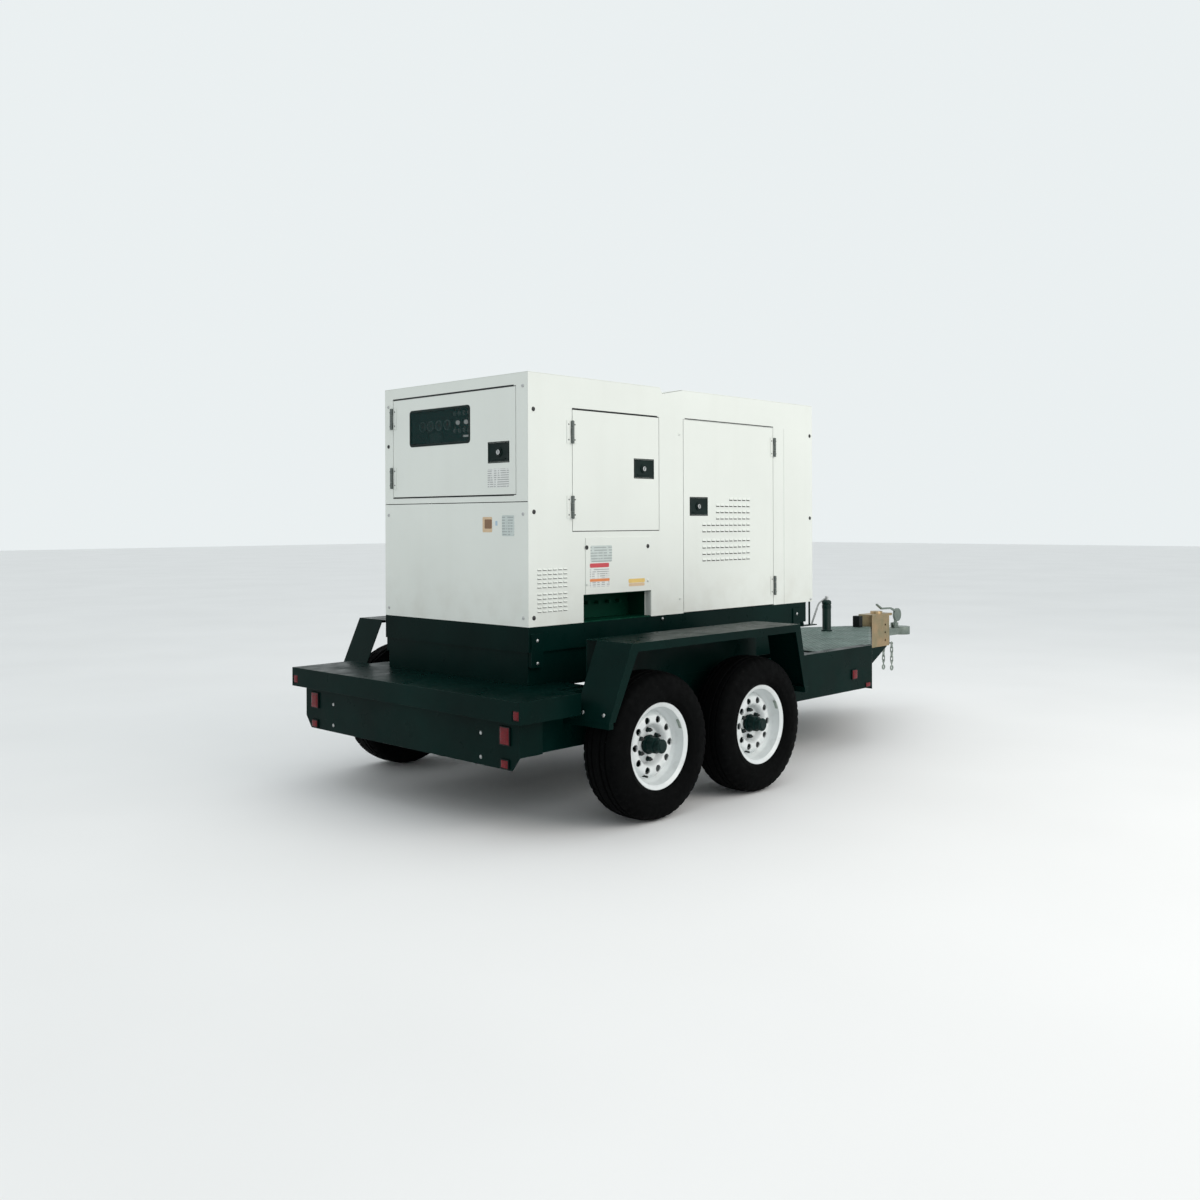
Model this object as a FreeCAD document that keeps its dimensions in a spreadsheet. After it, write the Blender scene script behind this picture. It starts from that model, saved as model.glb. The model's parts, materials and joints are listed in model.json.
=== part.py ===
"""Towable diesel generator: a cabinet on a tandem-axle trailer.

The frame is +X forwards to the hitch, +Y to the left and +Z up. The origin is on the
ground, in the middle of the overall length and width. Sizes are millimetres.
"""
import math
import os

import FreeCAD
import Part
import Sketcher

# Driving dimensions. Lengths and places along X, Y and Z, in the trailer's frame.
SIZES = {
    # cabinet
    "cab_rear": -2121, "cab_front": 300, "cab_half": 577, "cab_floor": 917,
    "cab_roof": 2146, "sheet": 4, "dip_start": -1155, "dip_low": -1139, "dip_end": -971,
    "dip_depth": 30, "bend_x": -7,
    # doors: gap is the slit round a door, knuckle_off the hinge axis outside the wall
    "gap": 4, "door_edge": 7, "door_deep": 25, "knuckle_off": 9, "knuckle_r": 7.5,
    "hinge_pin_r": 4, "hinge_bore_r": 4.05, "leaf_thick": 3, "leaf_wide": 25,
    "hinge_tall": 112, "leaf_start": 9,
    "rear_door_x": -1828, "rear_door_w": 652, "rear_door_z": 1377, "rear_door_tall": 603,
    "front_door_x": -114, "front_door_w": 840, "front_door_z": 922, "front_door_tall": 1061,
    "panel_door_y": 507, "panel_door_w": 988, "panel_door_z": 1558, "panel_door_tall": 522,
    "window_y": 104, "window_w": 490, "window_z": 1919, "window_tall": 182,
    "split_z": 1520,
    # paddle latches
    "latch_w": 153, "latch_tall": 95, "latch_deep": 20, "latch_wall": 5, "paddle_gap": 2,
    "paddle_thick": 9, "trunnion_r": 3, "trunnion_bore_r": 3.05, "trunnion_up": 37,
    "trunnion_in": 4, "key_r": 13,
    # cable recess and the cover above it
    "recess_x": -1490.5, "recess_w": 513, "recess_top": 1056, "recess_deep": 170,
    "stud_r": 9, "stud_pitch": 80,
    "cover_x": -1482.5, "cover_w": 503, "cover_tall": 285,
    # skid base and fuel tank
    "skid_front": 225, "skid_z": 795, "skid_wall": 6, "tank_rear": -2111, "tank_front": 180,
    "tank_half": 560, "tank_z": 622, "tank_wall": 5,
    # frame
    "rail_half": 790, "rail_z": 363, "rail_top": 628, "rail_web": 6, "rail_flange": 75,
    "rail_rear": -2436, "frame_front": 654, "cross_w": 60, "cross_z": 560, "cross_wall": 4,
    "nose_x": 1899, "nose_half": 52, "tongue_z": 350, "tongue_top": 616, "tongue_web": 8,
    "tongue_flange_end": 1775, "tongue_flange": 50, "nose_end": 2121, "nose_tip_z": 452,
    "deck_rear": -2492, "deck_half": 922, "deck_top": 636, "deck_thick": 8,
    "deck_flange": 100, "wing_end": -1905, "skirt_x": -2441, "skirt_half": 864, "skirt_z": 314,
    "skirt_corner_y": 51, "skirt_corner_z": 63, "skirt_thick": 5, "skirt_return": 140,
    "tread_thick": 4, "tread_half": 700, "tread_front": 1865,
    # fenders
    "fender_out": 1085, "fender_in": 860, "fender_top": 862, "fender_thick": 4,
    "fender_rear": -2099, "fender_rear_top": -1943, "fender_front_top": -588,
    "fender_front": -509, "fender_low": 515, "fender_lip": 40,
    # running gear
    "rear_axle": -1716, "front_axle": -912, "wheel_z": 355, "wheel_mid": 968.5,
    "tyre_r": 355, "tyre_half": 111.5, "tread_half_w": 88, "tyre_wall": 11,
    "seat_r": 190.5, "bead_gap": 0.4, "flange_r": 207.5, "rim_half": 86, "well_r": 168, "rim_wall": 6,
    "vent_r": 17, "vent_ring": 124, "stud_ring": 69.85, "nut_r": 11,
    "spindle_r": 19, "spindle_bore_r": 19.05, "arm_long": 150, "tube_z": 321,
    "tube_side": 76, "tube_half": 794, "arm_in": 796, "arm_out": 830, "torsion_r": 22,
    "torsion_bore_r": 22.05, "torsion_long": 100,
    # lamps
    "lamp_y": 770, "lamp_w": 70, "lamp_tall": 85, "lamp_z": 467, "lamp_deep": 12,
    "stop_w": 55, "stop_tall": 44, "stop_z": 341,
    "end_lamp_y": 892, "end_lamp_w": 45, "end_lamp_tall": 48, "end_lamp_z": 574,
    # hitch
    "head_front": 2155, "head_z": 456, "head_top": 690, "head_wall": 8, "lid_top": 706,
    "ball_x": 2420, "ball_r": 30, "body_z": 522, "body_top": 582, "coupler_tip": 2492,
    "latch_pivot_x": 2325, "latch_pivot_z": 600, "latch_bore_r": 6.05, "latch_pin_r": 6,
    "chain_x": 2218, "chain_y": 36, "chain_z": 470, "link_r": 4.2,
    "eye_pin_r": 4.75, "link_pitch": 36, "link_half": 9,
    # jack
    "jack_x": 1356, "jack_r": 32, "jack_bore_r": 24.55, "leg_r": 24.5, "jack_z": 340,
    "jack_top": 814, "foot_z": 318, "foot_r": 75, "foot_thick": 8, "crank_r": 8,
    "crank_bore_r": 8.05, "arm_r": 7, "crank_reach": 74, "crank_grip": 165,
    "battery_x": 1780, "battery_long": 50, "battery_wide": 56, "battery_tall": 84,
    # machinery
    "shaft_z": 1290, "alt_r": 215, "alt_bore_r": 120, "alt_rear": -1850, "alt_front": -1280,
    "block_front": -420, "block_half": 190, "sump_z": 985, "head_z_top": 1640,
    "radiator_x": 150, "fan_x": 40, "fan_z": 1370, "fan_r": 360, "fan_shaft_r": 15, "fan_bore_r": 15.05,
    "muffler_r": 120, "muffler_z": 1870,
    "board_x": -2055, "board_half": 430,
}

doc = FreeCAD.newDocument("generator")
sheet_object = doc.addObject("Spreadsheet::Sheet", "Sizes")
for row, (alias, size) in enumerate(SIZES.items(), start=1):
    sheet_object.set(f"A{row}", alias)
    sheet_object.set(f"B{row}", str(size))
    sheet_object.setAlias(f"B{row}", alias)
doc.recompute()

AXIS_TURN = {
    "x": FreeCAD.Rotation(FreeCAD.Vector(0, 1, 0), 90),
    "y": FreeCAD.Rotation(FreeCAD.Vector(1, 0, 0), -90),
    "z": FreeCAD.Rotation(),
}
SIDES = {"right": -1, "left": 1}
CROSS_TUBES = (-2380, -1960, -1314, -640, 60)
NODES = {}


def formula(text):
    """Point each named size in the text at its cell."""
    words = str(text).replace("(", " ( ").replace(")", " ) ").split()
    return " ".join("Sizes." + word if word in SIZES else word for word in words)


def place(piece, x=0, y=0, z=0):
    """Bind the piece's base point."""
    for axis, text in zip("xyz", (x, y, z)):
        piece.setExpression(f"Placement.Base.{axis}", formula(text))
    return piece


def block(name, size, centre):
    """A box given by its three sizes and its centre."""
    piece = doc.addObject("Part::Box", name)
    for prop, text in zip(("Length", "Width", "Height"), size):
        piece.setExpression(prop, formula(text))
    return place(piece, *(f"( {c} ) - ( {s} ) / 2" for c, s in zip(centre, size)))


def span(name, x, y, z):
    """A box given by its low and high place along each axis."""
    ends = (x, y, z)
    size = [f"( {high} ) - ( {low} )" for low, high in ends]
    return block(name, size, [f"( ( {low} ) + ( {high} ) ) / 2" for low, high in ends])


def rod(name, radius, length, start, axis="z"):
    """A cylinder from its start point along an axis."""
    piece = doc.addObject("Part::Cylinder", name)
    piece.setExpression("Radius", formula(radius))
    piece.setExpression("Height", formula(length))
    piece.Placement = FreeCAD.Placement(FreeCAD.Vector(), AXIS_TURN[axis])
    return place(piece, *start)


def turned(piece, rotation):
    """Give a primitive another direction and keep its bound base point."""
    piece.Placement = FreeCAD.Placement(FreeCAD.Vector(), rotation)
    return piece


def fuse(name, pieces):
    joined = doc.addObject("Part::MultiFuse", name)
    joined.Shapes = pieces
    joined.Refine = True
    return joined


def cut(name, base, tools):
    """Cut one or more tools out of a base."""
    tool = tools[0] if len(tools) == 1 else group(f"{name}_tools", tools)
    result = doc.addObject("Part::Cut", name)
    result.Base = base
    result.Tool = tool
    return result


def group(name, pieces):
    """Separate solids kept as one piece."""
    compound = doc.addObject("Part::Compound", name)
    compound.Links = pieces
    return compound


def reach(sign, near, far):
    """The two ends of a stretch from near to far of the middle, in rising order of Y."""
    return (near, far) if sign > 0 else (f"-1 * ( {far} )", f"-1 * ( {near} )")


def node(name, piece):
    """Register a finished sub-part under the name of its file."""
    piece.Label = name
    NODES[name] = piece
    return piece


def plane_of(body, role):
    return next(item for item in body.Origin.OriginFeatures if item.Role == role)


def outline(body, plane, points):
    """A closed polygon on an origin plane, each corner bound to the sheet."""
    sketch = body.newObject("Sketcher::SketchObject", f"{body.Name}_outline")
    sketch.AttachmentSupport = [(plane_of(body, plane), "")]
    sketch.MapMode = "FlatFace"
    count = len(points)
    turn = [2 * math.pi * i / count for i in range(count)]
    corners = [FreeCAD.Vector(100 * math.cos(t), 100 * math.sin(t), 0) for t in turn]
    ends = corners[1:] + corners[:1]
    sketch.addGeometry([Part.LineSegment(a, b) for a, b in zip(corners, ends)], False)
    for i in range(count):
        following = (i + 1) % count
        sketch.addConstraint(Sketcher.Constraint("Coincident", i, 2, following, 1))
    for i, (across, up) in enumerate(points):
        for kind, text, now in (("DistanceX", across, corners[i].x), ("DistanceY", up, corners[i].y)):
            index = sketch.addConstraint(Sketcher.Constraint(kind, -1, 1, i, 1, now))
            sketch.setExpression(f"Constraints[{index}]", formula(text))
    return sketch


def plate(name, plane, points, thick, offset):
    """A flat piece: an outline padded both ways from its middle plane at the offset."""
    body = doc.addObject("PartDesign::Body", name)
    pad = body.newObject("PartDesign::Pad", f"{name}_pad")
    pad.Profile = outline(body, plane, points)
    pad.Midplane = True
    pad.setExpression("Length", formula(thick))
    where = {"XY_Plane": (0, 0, offset), "XZ_Plane": (0, offset, 0), "YZ_Plane": (offset, 0, 0)}
    return place(body, *where[plane])


def ring(name, points, x, y, z):
    """A body turned about an axis along Y, from (axial, radial) corners."""
    body = doc.addObject("PartDesign::Body", name)
    sketch = outline(body, "YZ_Plane", points)
    turning = body.newObject("PartDesign::Revolution", f"{name}_turn")
    turning.Profile = sketch
    turning.ReferenceAxis = (sketch, ["H_Axis"])
    turning.Angle = 360
    return place(body, x, y, z)


# ---------------------------------------------------------------- trailer frame


def frame():
    """Two channel rails joined by cross tubes."""
    pieces = []
    for side, sign in SIDES.items():
        rail = span(f"rail_{side}_bar", ("rail_rear", "frame_front"),
                    reach(sign, "rail_half - rail_flange", "rail_half"), ("rail_z", "rail_top"))
        hollow_y = f"{sign} * ( rail_half - rail_web - rail_flange / 2 )"
        hollow = block(
            f"rail_{side}_hollow",
            ("frame_front - rail_rear + 10", "rail_flange", "rail_top - rail_z - 2 * rail_web"),
            ("( frame_front + rail_rear ) / 2", hollow_y, "( rail_top + rail_z ) / 2"),
        )
        pieces.append(cut(f"rail_{side}", rail, [hollow]))
    for i, x in enumerate(CROSS_TUBES):
        middle = (x, 0, "( tank_z + cross_z ) / 2")
        bar = block(f"cross_{i}_bar",
                    ("cross_w", "2 * ( rail_half - rail_web )", "tank_z - cross_z"), middle)
        hollow = block(f"cross_{i}_hollow",
                       ("cross_w - 2 * cross_wall", "2 * rail_half", "tank_z - cross_z - 2 * cross_wall"),
                       middle)
        pieces.append(cut(f"cross_{i}", bar, [hollow]))
    front_middle = ("frame_front - cross_w / 2", 0, "( tongue_top + rail_z ) / 2")
    front_wide = "2 * ( rail_half - rail_flange )"
    front = block("cross_front_bar", ("cross_w", front_wide, "tongue_top - rail_z"), front_middle)
    front_hollow = block("cross_front_hollow",
                         ("cross_w - 2 * rail_web", f"{front_wide} + 10",
                          "tongue_top - rail_z - 2 * rail_web"),
                         front_middle)
    pieces.append(cut("cross_front", front, [front_hollow]))
    node("frame", group("frame", pieces))


def tongue():
    """The A-shaped drawbar: two angled channels, the jack plate and the nose."""
    slope = "( rail_half - nose_half ) / ( nose_x - frame_front )"
    pieces = []
    for side, sign in SIDES.items():
        def edge(x, inset):
            return (x, f"{sign} * ( rail_half - {inset} - {slope} * ( {x} - frame_front ) )")
        web = plate(f"tongue_{side}_web", "XY_Plane",
                    [edge("frame_front", "0"), edge("nose_x", "0"),
                     edge("nose_x", "tongue_web"), edge("frame_front", "tongue_web")],
                    "tongue_top - tongue_z", "( tongue_top + tongue_z ) / 2")
        flanges = [
            plate(f"tongue_{side}_{level}", "XY_Plane",
                  [edge("frame_front", "1"), edge("tongue_flange_end", "1"),
                   edge("tongue_flange_end", "tongue_flange"), edge("frame_front", "tongue_flange")],
                  "tongue_web", z)
            for level, z in (("top", "tongue_top - tongue_web / 2"),
                             ("low", "tongue_z + tongue_web / 2"))
        ]
        pieces.append(fuse(f"tongue_{side}", [web] + flanges))
    mount = block("jack_plate_bar", (140, 580, 8), ("jack_x", 0, "tongue_top - tongue_web - 4"))
    bore = rod("jack_plate_bore", "jack_r", 40, ("jack_x", 0, "tongue_top - 40"))
    pieces.append(cut("jack_plate", mount, [bore]))
    nose = plate("nose", "XZ_Plane",
                 [("nose_x", "tongue_z - 16"), ("nose_end", "nose_tip_z - 2"),
                  ("nose_end", "nose_tip_z + 4"), ("nose_x", "nose_tip_z + 4")],
                 "2 * nose_half - 4", 0)
    pieces.append(nose)
    node("tongue", group("tongue", pieces))


def tread_deck():
    """The light chequer-plate deck over the front of the frame and the tongue."""
    slope = "( rail_half - nose_half ) / ( nose_x - frame_front )"
    corner_x = f"frame_front + ( rail_half - 10 - tread_half ) / ( {slope} )"
    tip_y = f"rail_half - 10 - {slope} * ( tread_front - frame_front )"
    points = [("tank_front + 3", "-1 * tread_half"), (corner_x, "-1 * tread_half"),
              ("tread_front", f"-1 * ( {tip_y} )"), ("tread_front", tip_y),
              (corner_x, "tread_half"), ("tank_front + 3", "tread_half")]
    sheet = plate("tread_sheet", "XY_Plane", points, "tread_thick", "tongue_top + tread_thick / 2")
    bore = rod("tread_bore", "jack_r + 1", 40, ("jack_x", 0, "tongue_top - 10"))
    node("tread_deck", cut("tread_deck", sheet, [bore]))


def rear_deck():
    """The step behind the cabinet, with a turned-down edge and two wings along the rails."""
    slab = span("deck_slab", ("deck_rear", "tank_rear - 1"), ("-1 * deck_half", "deck_half"),
                ("deck_top - deck_flange", "deck_top"))
    hollow = span("deck_hollow", ("deck_rear + 6", "tank_rear + 10"),
                  ("6 - deck_half", "deck_half - 6"),
                  ("deck_top - deck_flange - 10", "deck_top - deck_thick"))
    wings = [
        span(f"deck_wing_{side}", ("tank_rear - 10", "wing_end"), (inner, outer),
             ("deck_top - deck_thick", "deck_top"))
        for side, inner, outer in (("left", "tank_half + 2", "rail_half - 50"),
                                   ("right", "50 - rail_half", "-1 * ( tank_half + 2 )"))
    ]
    windows = [
        block(f"deck_window_{side}", (40, "end_lamp_w", "end_lamp_tall"),
              ("deck_rear", f"{sign} * end_lamp_y", "end_lamp_z"))
        for side, sign in SIDES.items()
    ]
    bent = cut("deck_bent", slab, [hollow] + windows)
    node("rear_deck", fuse("rear_deck", [bent] + wings))


def rear_skirt():
    """The lamp board under the rear deck, with clipped lower corners and side returns."""
    half, low = "skirt_half", "skirt_z"
    top = "deck_top - deck_thick"
    corner_y, corner_z = f"{half} - skirt_corner_y", f"{low} + skirt_corner_z"
    points = [(f"-1 * ( {corner_y} )", low), (corner_y, low), (half, corner_z), (half, top),
              (f"-1 * {half}", top), (f"-1 * {half}", corner_z)]
    board = plate("skirt_board", "YZ_Plane", points, "skirt_thick", "skirt_x + skirt_thick / 2")
    returns = [
        block(f"skirt_return_{side}", ("skirt_return", "skirt_thick", f"{top} - ( {corner_z} )"),
              ("skirt_x + skirt_return / 2", f"{sign} * ( skirt_half - skirt_thick / 2 )",
               f"( {top} + {corner_z} ) / 2"))
        for side, sign in SIDES.items()
    ]
    node("rear_skirt", fuse("rear_skirt", [board] + returns))


def fenders():
    """A flat-topped fender with sloping ends over each pair of wheels."""
    wide = "fender_out - fender_in"
    for side, sign in SIDES.items():
        mid = f"{sign} * ( fender_out + fender_in ) / 2"
        thick = "fender_thick"
        arch = plate(
            f"fender_{side}_arch", "XZ_Plane",
            [("fender_rear", "fender_low"), ("fender_rear_top", "fender_top"),
             ("fender_front_top", "fender_top"), ("fender_front", "fender_low"),
             (f"fender_front - {thick}", "fender_low"),
             (f"fender_front_top - {thick}", f"fender_top - {thick}"),
             (f"fender_rear_top + {thick}", f"fender_top - {thick}"),
             (f"fender_rear + {thick}", "fender_low")],
            wide, mid)
        lip = plate(
            f"fender_{side}_lip", "XZ_Plane",
            [("fender_rear", "fender_low"), ("fender_rear_top", "fender_top"),
             ("fender_front_top", "fender_top"), ("fender_front", "fender_low"),
             ("fender_front - fender_lip", "fender_low"),
             ("fender_front_top - fender_lip", "fender_top - fender_lip"),
             ("fender_rear_top + fender_lip", "fender_top - fender_lip"),
             ("fender_rear + fender_lip", "fender_low")],
            thick, f"{sign} * ( fender_out - {thick} / 2 )")
        shelf = span(f"fender_{side}_shelf", ("fender_rear_top", "fender_front_top"),
                     reach(sign, "rail_half", "fender_in + 10"), (f"fender_top - {thick}", "fender_top"))
        back = block(f"fender_{side}_back",
                     ("fender_front_top - fender_rear_top", thick, "fender_top - rail_top"),
                     ("( fender_front_top + fender_rear_top ) / 2",
                      f"{sign} * ( rail_half - {thick} / 2 )", "( fender_top + rail_top ) / 2"))
        ends = [
            block(f"fender_{side}_bar_{end}", (30, "fender_out - rail_half - 2", 30),
                  (x, f"{sign} * ( fender_out + rail_half - 2 ) / 2", "fender_low - 15"))
            for end, x in (("rear", "fender_rear + 15"), ("front", "fender_front - 15"))
        ]
        node(f"fender_{side}", fuse(f"fender_{side}", [arch, lip, shelf, back] + ends))


def lamps():
    """Red tail, stop, side and end lamps."""
    pieces = []
    for side, sign in SIDES.items():
        face = "skirt_x - lamp_deep / 2"
        pieces += [
            block(f"tail_{side}", ("lamp_deep", "lamp_w", "lamp_tall"),
                  (face, f"{sign} * lamp_y", "lamp_z")),
            block(f"stop_{side}", ("lamp_deep", "stop_w", "stop_tall"),
                  (face, f"{sign} * lamp_y", "stop_z")),
            block(f"end_lamp_{side}", ("lamp_deep", "end_lamp_w", "end_lamp_tall"),
                  ("deck_rear + lamp_deep / 2", f"{sign} * end_lamp_y", "end_lamp_z")),
            block(f"side_lamp_{side}", (62, "lamp_deep", 62),
                  (438, f"{sign} * ( rail_half + lamp_deep / 2 )", 463)),
            block(f"reflector_{side}", (56, 6, 28),
                  (600, f"{sign} * ( rail_half + 3 )", 383)),
        ]
    node("lamp_lenses", group("lamp_lenses", pieces))


# ---------------------------------------------------------------- running gear


def axle_tubes():
    """Two square tubes, bored at each end for the torsion bars, with their pads."""
    pieces = []
    for name, wheel_x in (("rear", "rear_axle"), ("front", "front_axle")):
        x = f"{wheel_x} + arm_long"
        tube = block(f"tube_{name}_bar", ("tube_side", "2 * tube_half", "tube_side"), (x, 0, "tube_z"))
        pads = [
            block(f"pad_{name}_{side}", (110, 70, "rail_z - tube_z - tube_side / 2 + 2"),
                  (x, f"{sign} * 745", "( rail_z + tube_z + tube_side / 2 - 2 ) / 2"))
            for side, sign in SIDES.items()
        ]
        bore = rod(f"tube_{name}_bore", "torsion_bore_r", "2 * tube_half + 20",
                   (x, "-1 * tube_half - 10", "tube_z"), "y")
        pieces.append(cut(f"tube_{name}", fuse(f"tube_{name}_solid", [tube] + pads), [bore]))
    node("axle_tubes", group("axle_tubes", pieces))


def wheel_set(corner, sign, wheel_x):
    """One swing arm with its spindle, and the hub, rim and tyre that turn on it."""
    where = (wheel_x, f"{sign} * wheel_mid", "wheel_z")

    def out(axial):
        return f"{sign} * ( {axial} )"

    # swing arm
    pivot_x = f"{wheel_x} + arm_long"
    arm_mid = f"{sign} * ( arm_in + arm_out ) / 2"
    arm_low = f"{arm_mid} - ( arm_out - arm_in ) / 2"
    web = plate(f"arm_{corner}_web", "XZ_Plane",
                [(f"{wheel_x} - 6", "wheel_z - 29"), (f"{pivot_x} + 6", "tube_z - 35"),
                 (f"{pivot_x} + 6", "tube_z + 34"), (f"{wheel_x} - 6", "wheel_z + 29")],
                "arm_out - arm_in", arm_mid)
    eye = rod(f"arm_{corner}_eye", 36, "arm_out - arm_in", (pivot_x, arm_low, "tube_z"), "y")
    boss = rod(f"arm_{corner}_boss", 30, "arm_out - arm_in", (wheel_x, arm_low, "wheel_z"), "y")
    spindle_long = "wheel_mid + 50 - arm_in"
    spindle_y = f"{sign} * ( wheel_mid + 50 + arm_in ) / 2 - ( {spindle_long} ) / 2"
    spindle = rod(f"arm_{corner}_spindle", "spindle_r", spindle_long,
                  (wheel_x, spindle_y, "wheel_z"), "y")
    bar_y = f"{sign} * ( arm_in - torsion_long / 2 + 2 ) - ( torsion_long + 4 ) / 2"
    bar = rod(f"arm_{corner}_bar", "torsion_r", "torsion_long + 4", (pivot_x, bar_y, "tube_z"), "y")
    node(f"arm_{corner}", fuse(f"arm_{corner}", [web, eye, boss, spindle, bar]))

    # hub with its drum, dust cap and nuts
    hub_turn = ring(
        f"hub_{corner}_turn",
        [(out(-84), "spindle_bore_r"), (out(-84), 38), (out(-22), 38), (out(-22), 134),
         (out(-78), 134), (out(-78), 141), (out(-14), 141), (out(-14), 85), (out(-0.2), 85),
         (out(-0.2), 40), (out(62), 38), (out(64), 33), (out(98), 31), (out(106), 22),
         (out(106), 0), (out(54), 0), (out(54), "spindle_bore_r")],
        *where)
    nuts = []
    for i in range(6):
        angle = math.radians(60 * i + 30)
        nut = doc.addObject("Part::Prism", f"nut_{corner}_{i}")
        nut.Polygon = 6
        nut.setExpression("Circumradius", formula("nut_r"))
        nut.Height = 20
        nut.Placement = FreeCAD.Placement(FreeCAD.Vector(), AXIS_TURN["y"])
        nuts.append(place(nut, f"{wheel_x} + stud_ring * {math.cos(angle):.5f}",
                          f"{sign} * ( wheel_mid + 15 ) - 10",
                          f"wheel_z + stud_ring * {math.sin(angle):.5f}"))
    node(f"hub_{corner}", group(f"hub_{corner}", [hub_turn] + nuts))

    # rim: barrel and dished disc
    barrel = ring(
        f"barrel_{corner}",
        [(out("-1 * rim_half"), "flange_r"), (out("5 - rim_half"), "flange_r"),
         (out("5 - rim_half"), "seat_r"), (out(-46), "seat_r - 2"), (out(-36), "well_r"),
         (out(12), "well_r"), (out(24), "seat_r - 2"), (out("rim_half - 5"), "seat_r"),
         (out("rim_half - 5"), "flange_r"), (out("rim_half"), "flange_r"),
         (out("rim_half"), "seat_r - rim_wall"), (out(27), "seat_r - 2 - rim_wall"),
         (out(15), "well_r - rim_wall"), (out(-39), "well_r - rim_wall"),
         (out(-49), "seat_r - 2 - rim_wall"), (out("-1 * rim_half"), "seat_r - rim_wall")],
        *where)
    disc = ring(
        f"disc_{corner}",
        [(out(5), 42), (out(5), 82), (out(36), 102), (out(42), 112), (out(42), 134),
         (out(36), 146), (out(8), "well_r - rim_wall + 0.5"), (out(-2), "well_r - rim_wall + 0.5"),
         (out(31), 143), (out(37), 132), (out(37), 113), (out(31), 105), (out(0), 86), (out(0), 42)],
        *where)
    holes = []
    for i in range(10):
        angle = math.radians(36 * i)
        holes.append(rod(f"vent_{corner}_{i}", "vent_r", 60,
                         (f"{wheel_x} + vent_ring * {math.cos(angle):.5f}",
                          f"{sign} * ( wheel_mid + 40 ) - 30",
                          f"wheel_z + vent_ring * {math.sin(angle):.5f}"), "y"))
    node(f"rim_{corner}", cut(f"rim_{corner}", fuse(f"rim_{corner}_solid", [barrel, disc]), holes))

    # tyre: tread, walls and beads round an open cavity
    seat = "seat_r + bead_gap"
    tyre_turn = ring(
        f"tyre_{corner}_turn",
        [(out(-80), seat), (out(-80), "flange_r + 4"), (out("-1 * tyre_half"), 262),
         (out("-1 * tyre_half"), 292), (out("-1 * tread_half_w"), "tyre_r - 4"),
         (out(0), "tyre_r"), (out("tread_half_w"), "tyre_r - 4"), (out("tyre_half"), 292),
         (out("tyre_half"), 262), (out(80), "flange_r + 4"), (out(80), seat),
         (out(62), seat), (out(62), 215), (out("tyre_half - tyre_wall"), 262),
         (out("tyre_half - tyre_wall"), 300), (out(70), "tyre_r - 20"), (out(-70), "tyre_r - 20"),
         (out("tyre_wall - tyre_half"), 300), (out("tyre_wall - tyre_half"), 262), (out(-62), 215),
         (out(-62), seat)],
        *where)
    node(f"tyre_{corner}", tyre_turn)


# ---------------------------------------------------------------- base and cabinet


def fuel_tank():
    """A welded tank under the skid, with a pick-up port through its top."""
    tank = span("tank_box", ("tank_rear", "tank_front"), ("-1 * tank_half", "tank_half"),
                ("tank_z", "skid_z"))
    hollow = span("tank_hollow", ("tank_rear + tank_wall", "tank_front - tank_wall"),
                  ("tank_wall - tank_half", "tank_half - tank_wall"),
                  ("tank_z + tank_wall", "skid_z - tank_wall"))
    port = rod("tank_port", 25, 40, (-1900, 300, "skid_z - 20"))
    node("fuel_tank", cut("fuel_tank", tank, [hollow, port]))


def skid_base():
    """The tray that carries the machinery, with its corner ties and front stays."""
    tray = span("skid_box", ("cab_rear", "skid_front"), ("-1 * cab_half", "cab_half"),
                ("skid_z", "cab_floor"))
    hollow = span("skid_hollow", ("cab_rear + skid_wall", "skid_front - skid_wall"),
                  ("skid_wall - cab_half", "cab_half - skid_wall"),
                  ("skid_z - 10", "cab_floor - skid_wall"))
    pieces = [cut("skid_tray", tray, [hollow])]
    for side, sign in SIDES.items():
        for end, x in (("rear", "cab_rear + 52"), ("front", "tank_front - 60")):
            strap = block(f"tie_{end}_{side}_strap", (78, 6, 164),
                          (x, f"{sign} * ( cab_half + 3 )", 803))
            spacer = block(f"tie_{end}_{side}_spacer", (78, "cab_half - tank_half", 70),
                           (x, f"{sign} * ( cab_half + tank_half ) / 2", 758))
            pieces.append(fuse(f"tie_{end}_{side}", [strap, spacer]))
        foot = block(f"stay_{side}_foot", (170, 40, 6), ("tank_front + 85", f"{sign} * 557", 768))
        post = rod(f"stay_{side}_post", 6, "cab_floor - 771", (273, f"{sign} * 571", 771))
        gusset = plate(f"stay_{side}_gusset", "XZ_Plane",
                       [("skid_front", 771), ("skid_front + 32", 771), ("skid_front", 840)],
                       6, f"{sign} * 540")
        pieces.append(fuse(f"stay_{side}", [foot, post, gusset]))
    node("skid_base", group("skid_base", pieces))


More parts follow.
